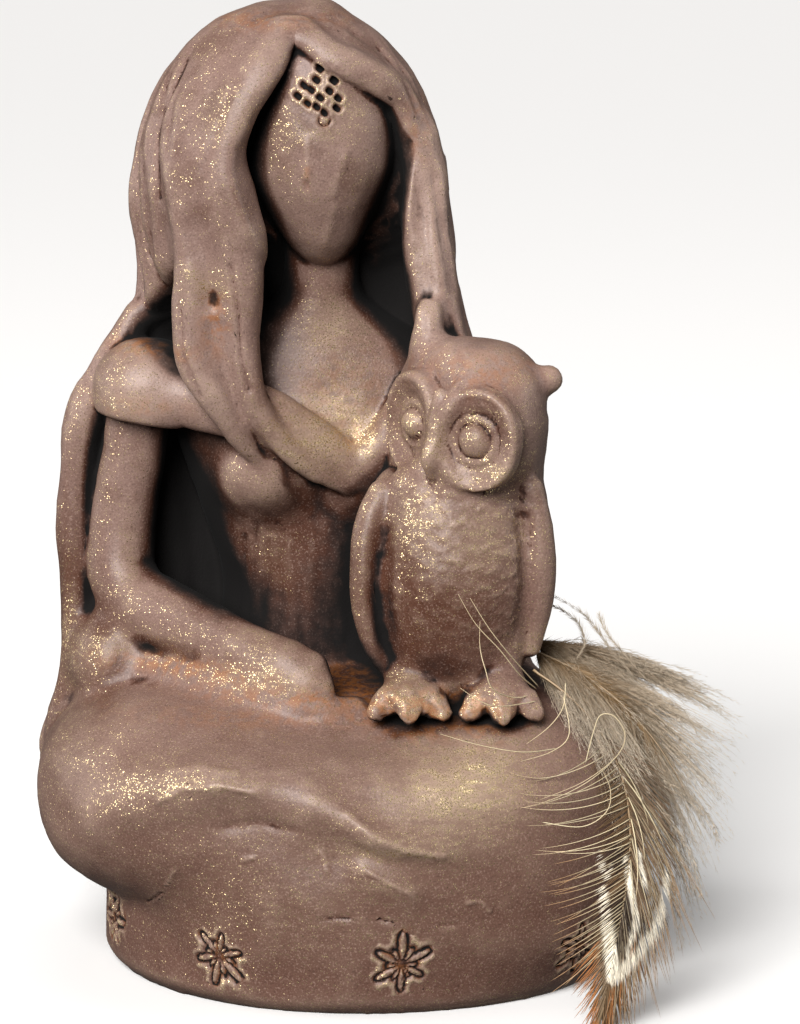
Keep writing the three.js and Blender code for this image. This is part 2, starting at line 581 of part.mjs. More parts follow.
/** Merges edges, the least missed one first, until only so many facets are left. */
function thinOut({ positions, triangles }, wanted, shortest, attention) {
  const vertexCount = positions.length / 3;
  const faceCount = triangles.length / 3;
  const quadrics = new Float64Array(vertexCount * 10);
  const version = new Int32Array(vertexCount);
  const facesOf = Array.from({ length: vertexCount }, () => []);
  const alive = new Uint8Array(faceCount).fill(1);
  let left = faceCount;

  const cross = (ax, ay, az, bx, by, bz, cx, cy, cz, result) => {
    result[0] = (by - ay) * (cz - az) - (bz - az) * (cy - ay);
    result[1] = (bz - az) * (cx - ax) - (bx - ax) * (cz - az);
    result[2] = (bx - ax) * (cy - ay) - (by - ay) * (cx - ax);
    return Math.sqrt(result[0] ** 2 + result[1] ** 2 + result[2] ** 2);
  };
  const normal = new Float64Array(3);
  const terms = new Float64Array(10);
  for (let face = 0; face < faceCount; face += 1) {
    const [a, b, c] = [triangles[3 * face], triangles[3 * face + 1], triangles[3 * face + 2]];
    const [ax, ay, az] = [positions[3 * a], positions[3 * a + 1], positions[3 * a + 2]];
    const area = cross(ax, ay, az, positions[3 * b], positions[3 * b + 1], positions[3 * b + 2],
      positions[3 * c], positions[3 * c + 1], positions[3 * c + 2], normal) || 1e-12;
    const [nx, ny, nz] = [normal[0] / area, normal[1] / area, normal[2] / area];
    const offset = -(nx * ax + ny * ay + nz * az);
    const isUnderside = nz < -0.999 && az < 1e-3;
    const weight = area * (isUnderside ? 100 : attention(ax, ay, az));
    terms.set([nx * nx, nx * ny, nx * nz, nx * offset, ny * ny, ny * nz, ny * offset, nz * nz, nz * offset,
      offset * offset]);
    for (const v of [a, b, c]) {
      facesOf[v].push(face);
      for (let n = 0; n < 10; n += 1) quadrics[10 * v + n] += weight * terms[n];
    }
  }

  const neighbours = (v) => {
    const found = [];
    for (const face of facesOf[v]) {
      for (let n = 3 * face; n < 3 * face + 3; n += 1) {
        const other = triangles[n];
        if (other !== v && !found.includes(other)) found.push(other);
      }
    }
    return found;
  };

  const q = new Float64Array(10);
  const point = new Float64Array(3);
  const cost = (x, y, z) => q[0] * x * x + 2 * q[1] * x * y + 2 * q[2] * x * z + 2 * q[3] * x + q[4] * y * y
    + 2 * q[5] * y * z + 2 * q[6] * y + q[7] * z * z + 2 * q[8] * z + q[9];
  let lowest = Infinity;
  const consider = (x, y, z) => {
    const here = cost(x, y, z);
    if (here >= lowest) return;
    lowest = here;
    point[0] = x;
    point[1] = y;
    point[2] = z;
  };
  /** Leaves the best place for the merged vertex in point, and gives its cost. */
  const best = (a, b) => {
    for (let n = 0; n < 10; n += 1) q[n] = quadrics[10 * a + n] + quadrics[10 * b + n];
    const [ax, ay, az] = [positions[3 * a], positions[3 * a + 1], positions[3 * a + 2]];
    const [bx, by, bz] = [positions[3 * b], positions[3 * b + 1], positions[3 * b + 2]];
    const edgeSquared = (ax - bx) ** 2 + (ay - by) ** 2 + (az - bz) ** 2;
    const [mx, my, mz] = [(ax + bx) / 2, (ay + by) / 2, (az + bz) / 2];
    lowest = Infinity;
    consider(mx, my, mz);
    consider(ax, ay, az);
    consider(bx, by, bz);
    const c0 = q[4] * q[7] - q[5] * q[5];
    const c1 = q[1] * q[7] - q[5] * q[2];
    const c2 = q[1] * q[5] - q[4] * q[2];
    const det = q[0] * c0 - q[1] * c1 + q[2] * c2;
    if (Math.abs(det) > 1e-6) {
      const d0 = q[6] * q[7] - q[5] * q[8];
      const x = -(q[3] * c0 - q[1] * d0 + q[2] * (q[6] * q[5] - q[4] * q[8])) / det;
      const y = -(q[0] * d0 - q[3] * c1 + q[2] * (q[1] * q[8] - q[6] * q[2])) / det;
      const z = -(q[0] * (q[4] * q[8] - q[5] * q[6]) - q[1] * (q[1] * q[8] - q[6] * q[2]) + q[3] * c2) / det;
      if ((x - mx) ** 2 + (y - my) ** 2 + (z - mz) ** 2 < 2 * edgeSquared) consider(x, y, z);
    }
    const evenness = 0.002 * edgeSquared;
    return Math.max(lowest, 0) + evenness;
  };

  const heap = new Heap();
  const offer = (a, b) => heap.push({ cost: best(a, b), a, b, stamp: version[a] + version[b] });
  const before = new Float64Array(3);
  const after = new Float64Array(3);
  const [MIN_SHAPE, MIN_AREA, MIN_AGREEMENT] = [0.02, 1e-3, 0.25];
  /** False where one of a vertex's facets would fold over or become a sliver, if the vertex moved to point. */
  const staysFlat = (v, other) => {
    for (const face of facesOf[v]) {
      const turn = triangles[3 * face] === v ? 0 : triangles[3 * face + 1] === v ? 1 : 2;
      const p = triangles[3 * face + ((turn + 1) % 3)];
      const r = triangles[3 * face + ((turn + 2) % 3)];
      if (p === other || r === other) continue;
      const [px, py, pz] = [positions[3 * p], positions[3 * p + 1], positions[3 * p + 2]];
      const [rx, ry, rz] = [positions[3 * r], positions[3 * r + 1], positions[3 * r + 2]];
      const [vx, vy, vz] = [positions[3 * v], positions[3 * v + 1], positions[3 * v + 2]];
      const old = cross(vx, vy, vz, px, py, pz, rx, ry, rz, before);
      const area = cross(point[0], point[1], point[2], px, py, pz, rx, ry, rz, after);
      const longest = Math.max((px - point[0]) ** 2 + (py - point[1]) ** 2 + (pz - point[2]) ** 2,
        (rx - point[0]) ** 2 + (ry - point[1]) ** 2 + (rz - point[2]) ** 2);
      if (area < MIN_SHAPE * longest || area < MIN_AREA) return false;
      const agreement = before[0] * after[0] + before[1] * after[1] + before[2] * after[2];
      if (agreement < MIN_AGREEMENT * old * area) return false;
    }
    return true;
  };
  const mayMerge = (a, b) => {
    const around = neighbours(a);
    let shared = 0;
    for (const v of neighbours(b)) if (around.includes(v)) shared += 1;
    return shared === 2 && staysFlat(a, b) && staysFlat(b, a);
  };
  const merge = (a, b) => {
    positions.set(point, 3 * a);
    for (let n = 0; n < 10; n += 1) quadrics[10 * a + n] += quadrics[10 * b + n];
    for (const face of facesOf[b]) {
      const corners = triangles.subarray(3 * face, 3 * face + 3);
      if (corners.includes(a)) {
        alive[face] = 0;
        left -= 1;
        for (const v of corners) if (v !== b) facesOf[v].splice(facesOf[v].indexOf(face), 1);
      } else {
        corners[corners.indexOf(b)] = a;
        facesOf[a].push(face);
      }
    }
    facesOf[b] = [];
    version[a] += 1;
    version[b] += 1e6;
  };

  for (let a = 0; a < vertexCount; a += 1) for (const b of neighbours(a)) if (a < b) offer(a, b);
  while (left > wanted && heap.items.length > 0) {
    const { a, b, stamp } = heap.pop();
    if (version[a] + version[b] !== stamp) continue;
    best(a, b);
    if (!mayMerge(a, b)) continue;
    merge(a, b);
    for (const v of neighbours(a)) offer(a, v);
  }
  for (let a = 0; a < vertexCount; a += 1) {
    for (const b of neighbours(a)) {
      const edge = Math.hypot(...[0, 1, 2].map((n) => positions[3 * a + n] - positions[3 * b + n]));
      if (edge > shortest) continue;
      best(a, b);
      if (!mayMerge(a, b)) continue;
      merge(a, b);
      break;
    }
  }
  const kept = triangles.filter((_, n) => alive[Math.floor(n / 3)] === 1);
  return { positions, triangles: kept };
}

function geometryFrom({ positions, triangles }) {
  const geometry = new THREE.BufferGeometry();
  const corners = new Float32Array(triangles.length * 3);
  triangles.forEach((v, n) => corners.set(positions.subarray(3 * v, 3 * v + 3), 3 * n));
  geometry.setAttribute("position", new THREE.BufferAttribute(corners, 3));
  geometry.computeVertexNormals();
  return geometry;
}

function figurineGeometry() {
  const reach = 54 * figureScale;
  const low = [-reach, -BASE_DIAMETER / 2 - 8 * figureScale, 0];
  const high = [Math.max(reach, BASE_DIAMETER / 2 + 3) - 6 * figureScale, BASE_DIAMETER / 2 + 4 * figureScale,
    BASE_HEIGHT + FIGURE_HEIGHT + 3];
  const owlFaceAt = OWL_PLACE.map((value, axis) => value + [0, -8, 38][axis] * owlScale);
  const hairlineAt = [-5 * figureScale, -12 * figureScale, BASE_HEIGHT + 108 * figureScale];
  /** How much more a miss counts in the small carving of the owl's face and round the hairline. */
  const attention = (x, y, z) => {
    const toOwl = length(x - owlFaceAt[0], y - owlFaceAt[1], z - owlFaceAt[2]);
    const toHairline = length(x - hairlineAt[0], y - hairlineAt[1], z - hairlineAt[2]);
    return 1 + 4 * smoothstep(16, 11, toOwl / owlScale) + smoothstep(24, 16, toHairline / figureScale);
  };
  const fine = smoothed(facets(sample(casting, low, high, SAMPLE_STEP)), SMOOTHING);
  const mesh = thinOut(fine, FIGURINE_FACETS, SHORTEST_EDGE, attention);
  for (let n = 2; n < mesh.positions.length; n += 3) if (mesh.positions[n] < 0.05) mesh.positions[n] = 0;
  return geometryFrom(mesh);
}

// The feathers

const STATIONS = 16; // along a feather
const LANES = 4; // across it

/** Points along a quill that leaves its root at a pitch and bends until its tip is at the wanted height. */
function quill({ root, heading, turn, pitch, length: quillLength, tipHeight }) {
  const step = quillLength / STATIONS;
  const walk = (bend) => {
    const points = [root.clone()];
    for (let n = 0; n < STATIONS; n += 1) {
      const along = (n + 0.5) / STATIONS;
      const [yaw, dip] = [heading + turn * along, pitch + bend * along];
      const level = Math.cos(dip);
      const direction = new THREE.Vector3(level * Math.cos(yaw), level * Math.sin(yaw), -Math.sin(dip));
      points.push(points[n].clone().addScaledVector(direction, step));
    }
    return points;
  };
  let [least, most] = [-1.2, Math.PI / 2 - pitch];
  for (let pass = 0; pass < 30; pass += 1) {
    const bend = (least + most) / 2;
    if (walk(bend)[STATIONS].z > tipHeight) least = bend;
    else most = bend;
  }
  return walk(most);
}

/** Moves a point out of the clay until it is as far from it as wanted. */
function keptClear(point, distance) {
  const NUDGE = 0.2;
  const moved = point.clone();
  for (let pass = 0; pass < 8; pass += 1) {
    const gap = casting(moved.x, moved.y, moved.z) - distance;
    if (gap >= 0) break;
    const slope = new THREE.Vector3(
      casting(moved.x + NUDGE, moved.y, moved.z) - casting(moved.x - NUDGE, moved.y, moved.z),
      casting(moved.x, moved.y + NUDGE, moved.z) - casting(moved.x, moved.y - NUDGE, moved.z),
      casting(moved.x, moved.y, moved.z + NUDGE) - casting(moved.x, moved.y, moved.z - NUDGE),
    ).normalize();
    moved.addScaledVector(slope, -gap + 0.02);
  }
  return moved;
}

/** A feather's vane as one thin closed blade: narrow at the quill, widest past the middle. */
function featherGeometry(feather) {
  const middle = quill(feather);
  const facing = feather.facing.clone().normalize();
  const clearance = FEATHER_CLEARANCE + FEATHER_THICKNESS / 2;
  const rows = middle.map((point, n) => {
    const tangent = middle[Math.min(n + 1, STATIONS)].clone().sub(middle[Math.max(n - 1, 0)]).normalize();
    const side = new THREE.Vector3().crossVectors(facing, tangent).normalize();
    const front = new THREE.Vector3().crossVectors(tangent, side).normalize();
    const along = n / STATIONS;
    const half = feather.width / 2 * (0.1 + 0.9 * Math.sin(Math.PI * along ** 0.8) ** 0.8);
    return Array.from({ length: LANES + 1 }, (_, lane) => {
      const across = 2 * lane / LANES - 1;
      const place = point.clone().addScaledVector(side, half * across)
        .addScaledVector(front, -0.12 * half * across * across);
      place.z = Math.max(place.z, FLOOR_CLEARANCE + FEATHER_THICKNESS / 2);
      return { place: keptClear(place, clearance), front };
    });
  });
  const vertices = [];
  for (const face of [1, -1]) {
    for (const row of rows) {
      for (const { place, front } of row) {
        vertices.push(place.clone().addScaledVector(front, face * FEATHER_THICKNESS / 2));
      }
    }
  }
  const wide = LANES + 1;
  const back = wide * (STATIONS + 1);
  const index = [];
  const quad = (a, b, c, d) => index.push(a, c, b, a, d, c);
  for (let n = 0; n < STATIONS; n += 1) {
    for (let lane = 0; lane < LANES; lane += 1) {
      const at = n * wide + lane;
      quad(at, at + 1, at + wide + 1, at + wide);
      quad(back + at, back + at + wide, back + at + wide + 1, back + at + 1);
    }
    const [first, final] = [n * wide, n * wide + LANES];
    quad(first, first + wide, back + first + wide, back + first);
    quad(final, back + final, back + final + wide, final + wide);
  }
  for (let lane = 0; lane < LANES; lane += 1) {
    const [rootEdge, tipEdge] = [lane, STATIONS * wide + lane];
    quad(rootEdge, back + rootEdge, back + rootEdge + 1, rootEdge + 1);
    quad(tipEdge, tipEdge + 1, back + tipEdge + 1, back + tipEdge);
  }
  const geometry = new THREE.BufferGeometry().setFromPoints(vertices);
  geometry.setIndex(index);
  return geometry;
}

/** A point given from the owl's feet, in the owl's own units. */
function besideOwl(x, y, z) {
  return new THREE.Vector3(...[x, y, z].map((value, axis) => OWL_PLACE[axis] + value * owlScale));
}

const feathers = {
  patterned_feather: {
    ...PATTERNED_FEATHER, root: besideOwl(11, -6, 4), heading: -0.2, turn: -2.6, pitch: 0.5,
    tipHeight: FLOOR_CLEARANCE + FEATHER_THICKNESS, facing: new THREE.Vector3(0.3, -1, 0.35),
  },
  downy_feather: {
    ...DOWNY_FEATHER, root: besideOwl(12, 3, 4.5), heading: -0.5, turn: -0.2, pitch: 0.2,
    tipHeight: 0.16 * FIGURE_HEIGHT, facing: new THREE.Vector3(0.2, -1, 0.2),
  },
  upper_feather: {
    ...UPPER_FEATHER, root: besideOwl(12, 8.5, 5), heading: -0.1, turn: -0.3, pitch: 0.25,
    tipHeight: 0.3 * FIGURE_HEIGHT, facing: new THREE.Vector3(0, -1, 0.4),
  },
};

const ceramic = new THREE.MeshStandardMaterial({ color: 0x7d675f, roughness: 0.72, metalness: 0.05 });
const vane = new THREE.MeshStandardMaterial({
  color: 0x8f7d66, roughness: 0.8, metalness: 0, side: THREE.DoubleSide,
});

function piece(name, geometry, material) {
  const mesh = new THREE.Mesh(geometry, material);
  mesh.name = name;
  return mesh;
}

const figurine = new THREE.Group();
figurine.add(piece("figurine", figurineGeometry(), ceramic));
for (const [name, feather] of Object.entries(feathers)) {
  figurine.add(piece(name, featherGeometry(feather), vane));
}

export default figurine;
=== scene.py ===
"""The looks of a small hand-made ceramic figurine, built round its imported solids.

A seated woman with long hair and a blank face, and the owl on her lap, are one casting of fired clay with
gold mica rubbed into it. Small bird feathers are glued behind the owl. Forms are worked out in millimetres,
in the frame of the solids, as functions that give the distance from a point to the clay, and are turned into
metres as meshes are made.
"""
import functools
import math

import bmesh
import bpy
import numpy as np
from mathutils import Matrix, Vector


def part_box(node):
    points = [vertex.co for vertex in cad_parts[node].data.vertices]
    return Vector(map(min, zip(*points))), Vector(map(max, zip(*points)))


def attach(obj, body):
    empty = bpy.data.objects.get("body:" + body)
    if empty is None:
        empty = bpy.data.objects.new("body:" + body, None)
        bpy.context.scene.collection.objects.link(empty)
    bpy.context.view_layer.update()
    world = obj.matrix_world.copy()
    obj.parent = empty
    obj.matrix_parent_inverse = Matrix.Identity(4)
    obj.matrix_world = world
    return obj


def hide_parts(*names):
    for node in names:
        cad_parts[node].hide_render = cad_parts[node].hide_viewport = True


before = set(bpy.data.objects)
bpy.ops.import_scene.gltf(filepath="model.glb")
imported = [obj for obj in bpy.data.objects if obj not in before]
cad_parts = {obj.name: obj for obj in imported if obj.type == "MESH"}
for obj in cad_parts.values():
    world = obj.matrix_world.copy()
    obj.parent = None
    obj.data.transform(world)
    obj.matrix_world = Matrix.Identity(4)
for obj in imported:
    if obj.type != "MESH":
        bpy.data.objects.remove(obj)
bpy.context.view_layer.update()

import openvdb
from bpy.props import FloatProperty, FloatVectorProperty, IntProperty, PointerProperty
from mathutils import Vector

bl_info = {
    "name": "Seated Woman and Owl Figurine",
    "version": (1, 0, 0),
    "blender": (4, 5, 0),
    "location": "View3D > Sidebar > Figurine",
    "description": "Dresses the packed solids of a hand-made ceramic figurine with feathers",
    "category": "Object",
}

MM = 0.001
ROOT_BODY = "root"

# Driving sizes in millimetres, taken from the solids where they depend on them
BASE_HEIGHT = 10
BASE_EDGE = 3
BASE_DIAMETER = 76
CASTING_LOW, CASTING_HIGH = (np.array(corner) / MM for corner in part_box("figurine"))
FIGURE_HEIGHT = 130  # above the base, in the units that its forms are typed in
FIGURE_SCALE = (CASTING_HIGH[2] - BASE_HEIGHT) / FIGURE_HEIGHT
OWL_SCALE = FIGURE_SCALE
LAP_TOP = 32.6
OWL_ACROSS, OWL_FORWARD = 13.4, -15.4  # where it stands on the lap
OWL_PLACE = np.array([OWL_ACROSS * FIGURE_SCALE, OWL_FORWARD * FIGURE_SCALE,
                      BASE_HEIGHT + LAP_TOP * FIGURE_SCALE])


def linear(hex_colour):
    """An sRGB hex colour as the linear red, green and blue that Blender's sockets take."""
    channels = [int(hex_colour[n:n + 2], 16) / 255 for n in (1, 3, 5)]
    return tuple(c / 12.92 if c <= 0.04045 else ((c + 0.055) / 1.055) ** 2.4 for c in channels)


# Settings that a user would change

class ClaySettings(bpy.types.PropertyGroup):
    """Sizes and colours of the clay casting."""
    sample_step: FloatProperty(
        name="Sample step", description="Spacing of the grid that the clay is worked out on, in millimetres",
        default=0.42, min=0.3, max=2)
    facets: IntProperty(
        name="Facets", description="Triangles kept before the stamped and feathered places are refined",
        default=80000, min=10000, max=120000)
    stamp_count: IntProperty(
        name="Stamps", description="Looped rosettes pressed in a row round the base",
        default=9, min=1, max=16)
    stamp_width: FloatProperty(
        name="Stamp width", description="Width of one rosette, in millimetres", default=8.6, min=4, max=12)
    stamp_depth: FloatProperty(
        name="Stamp depth", description="Depth of the pressed lines, in millimetres",
        default=0.38, min=0, max=1)
    scallop_depth: FloatProperty(
        name="Scallop depth", description="Relief of the owl's breast feathers, in millimetres",
        default=0.2, min=0, max=1)
    clay_light: FloatVectorProperty(
        name="Light clay", description="Dusty mauve of the raised clay", subtype="COLOR", size=3,
        default=linear("#80665d"), min=0, max=1)
    clay_dust: FloatVectorProperty(
        name="Clay dust", description="Pale specks of grog in the clay", subtype="COLOR", size=3,
        default=linear("#a48a7e"), min=0, max=1)
    clay_brown: FloatVectorProperty(
        name="Brown clay", description="Brown of the shaded and rubbed clay", subtype="COLOR", size=3,
        default=linear("#4b2b1e"), min=0, max=1)
    # Also the colour of the painted shade in hollows, creases and gaps, and of dark specks in the clay
    clay_wash_and_shade: FloatVectorProperty(
        name="Recess", description="Dark wash left in the hollows", subtype="COLOR", size=3,
        default=linear("#060302"), min=0, max=1)
    mica_gold: FloatVectorProperty(
        name="Mica gold", description="Colour of the gold mica flakes", subtype="COLOR", size=3,
        default=linear("#ecd3a0"), min=0, max=1)
    # Also the colour of the highlights painted into the gold patches
    mica_dust_and_highlight: FloatVectorProperty(
        name="Mica dust", description="Clay seen through a film of the finest mica", subtype="COLOR", size=3,
        default=linear("#dfc3a6"), min=0, max=1)
    rust_wash: FloatVectorProperty(
        name="Rust wash", description="Orange wash left in the creases", subtype="COLOR", size=3,
        default=linear("#96581f"), min=0, max=1)


class FeatherSettings(bpy.types.PropertyGroup):
    """Sizes and colours of the feathers."""
    barb_spacing: FloatProperty(
        name="Barb spacing", description="Distance between barbs along the shaft, in millimetres",
        default=0.24, min=0.1, max=1)
    barb_width: FloatProperty(
        name="Barb width", description="Width of one barb of the vane, in millimetres",
        default=0.21, min=0.05, max=0.5)
    down_width: FloatProperty(
        name="Down width", description="Width of one thread of down, in millimetres",
        default=0.09, min=0.02, max=0.3)
    vane_brown: FloatVectorProperty(
        name="Vane brown", description="Ground colour of the patterned feather", subtype="COLOR", size=3,
        default=linear("#6b5237"), min=0, max=1)
    vane_dark: FloatVectorProperty(
        name="Vane dark", description="Dark centre inside the bars", subtype="COLOR", size=3,
        default=linear("#3a2a1a"), min=0, max=1)
    bar_cream: FloatVectorProperty(
        name="Bar cream", description="Cream of the chevron bars", subtype="COLOR", size=3,
        default=linear("#f3e9d4"), min=0, max=1)
    tip_rust: FloatVectorProperty(
        name="Tip rust", description="Rust of the barbs' tips", subtype="COLOR", size=3,
        default=linear("#b0713a"), min=0, max=1)
    down_root: FloatVectorProperty(
        name="Down root", description="Brown-beige of the down near its quill", subtype="COLOR", size=3,
        default=linear("#7d6038"), min=0, max=1)
    down_tip: FloatVectorProperty(
        name="Down tip", description="Pale grey of the down's ends", subtype="COLOR", size=3,
        default=linear("#dccdb8"), min=0, max=1)


class StageSettings(bpy.types.PropertyGroup):
    """The floor, the light and the camera's distance."""
    floor_colour: FloatVectorProperty(
        name="Floor", description="Pale floor under the figurine", subtype="COLOR", size=3,
        default=linear("#f2f0ee"), min=0, max=1)
    surround: FloatProperty(
        name="Surround", description="Brightness of the white surround", default=0.12, min=0, max=3)
    key_strength: FloatProperty(
        name="Key light", description="Strength of the broad key light, high on the left in front",
        default=5.6, min=0, max=50)
    softbox_power: FloatProperty(
        name="Softboxes", description="Power shared out over the softboxes at the sides and above",
        default=4, min=0, max=50, subtype="POWER")
    camera_distance: FloatProperty(
        name="Camera distance", description="From the lens to the middle of the figurine", default=0.657,
        min=0.2, max=5, unit="LENGTH", subtype="DISTANCE")


# Rounded joins and cuts

def join(a, b, radius):
    overlap = np.maximum(radius - np.abs(a - b), 0)
    return np.minimum(a, b) - overlap * overlap / (4 * radius)


def carve(body, tool, radius):
    return -join(-body, tool, radius)


def worked(clay, p, steps):
    """The clay with forms joined on or carved out in turn, each given as (action, form, radius)."""
    for action, form, radius in steps:
        clay = action(clay, form(p), radius)
    return clay


def smoothstep(low, high, value):
    t = np.clip((value - low) / (high - low), 0, 1)
    return t * t * (3 - 2 * t)


def to_segment(x, z, start, end):
    """Where on a segment the nearest place to each point is, as a share of it, and how far off that is."""
    (ax, az), (bx, bz) = start, end
    ex, ez = bx - ax, bz - az
    t = np.clip(((x - ax) * ex + (z - az) * ez) / (ex * ex + ez * ez), 0, 1)
    return t, np.hypot(x - ax - ex * t, z - az - ez * t)


# Forms: each is a function of a 3 by N array of points

REACH = 9.0  # farther off than this, a roll of clay says only that it is far
FAR = 1e3
LEAST_REACH = 0.05  # keeps the middle of a round form from dividing by nothing


def egg(centre, radii, power=2, lower=None):
    """An egg or a rounded block: power 2 is an ellipsoid, and higher powers are squarer."""
    rx, ry, rz = radii
    lower = rz if lower is None else lower

    def form(p):
        x, y, z = p[0] - centre[0], p[1] - centre[1], p[2] - centre[2]
        height = np.where(z < 0, lower, rz)
        if power == 2:
            reach = np.sqrt((x / rx) ** 2 + (y / ry) ** 2 + (z / height) ** 2)
        else:
            total = np.abs(x / rx) ** power + np.abs(y / ry) ** power + np.abs(z / height) ** power
            reach = total ** (1 / power)
        return np.sqrt(x * x + y * y + z * z) * (1 - 1 / np.maximum(reach, LEAST_REACH))

    return form


def curve_through(points, steps):
    """A smooth curve through points, with so many steps between two of them."""
    points = np.array(points, float)
    last = len(points) - 1
    stations = []
    for i in range(last):
        before, start, end, after = (points[n] for n in (max(i - 1, 0), i, i + 1, min(i + 2, last)))
        for step in range(steps):
            t = step / steps
            stations.append(0.5 * (2 * start + (end - before) * t
                                   + (2 * before - 5 * start + 4 * end - after) * t * t
                                   + (3 * start - before - 3 * end + after) * t * t * t))
    return np.array(stations + [points[last]])


def roll(points, flatness=1, steps=4):
    """A smooth curve through points, each (x, y, z, radius): a limb, a lock of hair or a roll of clay."""
    stations = curve_through(points, steps)
    low = (stations[:, :3] - stations[:, 3:]).min(0)[:, None] - REACH
    high = (stations[:, :3] + stations[:, 3:]).max(0)[:, None] + REACH
    squash = np.array([1, flatness, 1, 1])
    starts = stations[:-1] * squash
    spans = np.diff(stations, axis=0) * squash

    def form(p):
        values = np.full(p.shape[1], REACH, np.float32)
        near = ((p > low) & (p < high)).all(0)
        if not near.any():
            return values
        x, y, z = p[0][near], p[1][near] * flatness, p[2][near]
        nearest = np.full(x.shape, FAR, np.float32)
        for (ax, ay, az, radius), (ex, ey, ez, growth) in zip(starts.tolist(), spans.tolist()):
            px, py, pz = x - ax, y - ay, z - az
            t = np.clip((px * ex + py * ey + pz * ez) / (ex * ex + ey * ey + ez * ez + 1e-9), 0, 1)
            px -= ex * t
            py -= ey * t
            pz -= ez * t
            np.minimum(nearest, np.sqrt(px * px + py * py + pz * pz) - (radius + growth * t), out=nearest)
        values[near] = nearest / math.sqrt(flatness)
        return values

    return form


LOFT_ROWS = 400  # heights at which a lofted body's sections are worked out


def lofted(sections):
    """A body whose level sections are ellipses: (z, centre x and y, radius x and y) at rising heights."""
    sections = np.array(sections, float)
    last = len(sections) - 1
    before = sections[[max(n - 1, 0) for n in range(last + 1)]]
    after = sections[[min(n + 1, last) for n in range(last + 1)]]
    slopes = (after - before) / (after[:, :1] - before[:, :1])
    lowest, highest = sections[0][0], sections[last][0]
    heights = np.linspace(lowest, highest, LOFT_ROWS)
    index = np.clip(np.searchsorted(sections[:, 0], heights), 1, last)
    lower, upper = sections[index - 1], sections[index]
    low_slope, high_slope = slopes[index - 1], slopes[index]
    span = upper[:, :1] - lower[:, :1]
    t = (heights[:, None] - lower[:, :1]) / span
    squared = 3 * (upper - lower) - span * (2 * low_slope + high_slope)
    cubed = 2 * (lower - upper) + span * (low_slope + high_slope)
    table = lower + t * (span * low_slope + t * (squared + t * cubed))

    def form(p):
        x, y, z = p
        cx, cy, rx, ry = (np.interp(z, heights, table[:, k]).astype(np.float32) for k in range(1, 5))
        dx, dy = x - cx, y - cy
        reach = np.maximum(np.sqrt((dx / rx) ** 2 + (dy / ry) ** 2), LEAST_REACH)
        side = np.sqrt(dx * dx + dy * dy) * (1 - 1 / reach)
        return np.maximum(np.maximum(side, lowest - z), z - highest)

    return form


def outline(points):
    """A closed outline of (x, z) points, drawn through the whole depth."""
    def form(x, z):
        nearest = np.full(x.shape, FAR, np.float32)
        inside = np.zeros(x.shape, bool)
        for start, end in zip([points[-1]] + points[:-1], points):
            np.minimum(nearest, to_segment(x, z, start, end)[1], out=nearest)
            (ax, az), (bx, bz) = start, end
            if az != bz:
                inside ^= ((az > z) != (bz > z)) & (x < ax + (z - az) / (bz - az) * (bx - ax))
        return np.where(inside, -nearest, nearest)

    return form


def turned(p, centre, yaw, tilt):
    """Points as seen in a frame turned by yaw about Z, and by tilt about its own -Y."""
    x, y, z = p[0] - centre[0], p[1] - centre[1], p[2] - centre[2]
    across = x * math.cos(yaw) + y * math.sin(yaw)
    back = y * math.cos(yaw) - x * math.sin(yaw)
    return np.array([across * math.cos(tilt) + z * math.sin(tilt), back,
                     z * math.cos(tilt) - across * math.sin(tilt)])


# The skirt over the crossed legs

lap_mass = egg((-2.5, -2.5, 16.4), (42.5, 35.4, 16.4), 2.5)
left_knee = egg((-27.5, -7, 16.4), (18.9, 22, 15.6), 2.3)
right_knee = egg((22.5, -8, 16.6), (18, 23, 15.2), 2.3)
seat_mass = egg((-6, 9, 15), (36, 23, 18), 2.3)
hem_mass = egg((4, -4.5, 4), (35.5, 32.6, 17), 2.6)
shin_fold = roll([(-35, -26.6, 17, 2), (-29, -30.2, 20.4, 2.8), (-21, -33.4, 22.6, 2.8), (-13, -35, 22.6, 2),
                  (-7, -35.6, 21, 1)])
knee_fold = roll([(-6, -36.6, 20.2, 1), (0, -36.4, 17, 2), (7, -35.6, 14.8, 2.6), (15, -33.4, 13.4, 2.4),
                  (24, -28, 13, 1.6)])
low_fold = roll([(0, -36.6, 12.2, 0.8), (6, -36.2, 9.8, 1.4), (12, -34.6, 8, 0.8)])
crescent_hollow = roll([(-25, -38.2, 16.6, 1), (-19, -39.8, 17.6, 2), (-12.5, -40.2, 16.8, 1.4)])
fold_ridges = [roll(points) for points in (
    [(-29.4, -31.4, 20.3, 0.4), (-24.6, -33.6, 22.4, 0.9), (-19.4, -36.2, 23.3, 0.9),
     (-14.3, -37.2, 22.6, 0.4)],
    [(-3.8, -38, 19.9, 0.4), (1.6, -39.2, 16.6, 0.9), (5.8, -38.8, 15.1, 1), (12.8, -37, 13.7, 0.4)],
    [(0.8, -39, 11.7, 0.3), (4, -38.6, 10.2, 0.8), (7.2, -38, 8.7, 0.3)])]
lap_hollow = roll([(-8, -29, 33.5, 4), (2, -30, 33, 5), (12, -31, 32, 4)])


def skirt(p):
    return worked(lap_mass(p), p, (
        (join, left_knee, 6), (join, right_knee, 6), (join, seat_mass, 6), (join, hem_mass, 7),
        (join, shin_fold, 5), (join, knee_fold, 4), (join, low_fold, 3),
        *[(join, ridge, 2.2) for ridge in fold_ridges],
        (carve, crescent_hollow, 3.5), (carve, lap_hollow, 8)))


# The body in its off-shoulder bodice

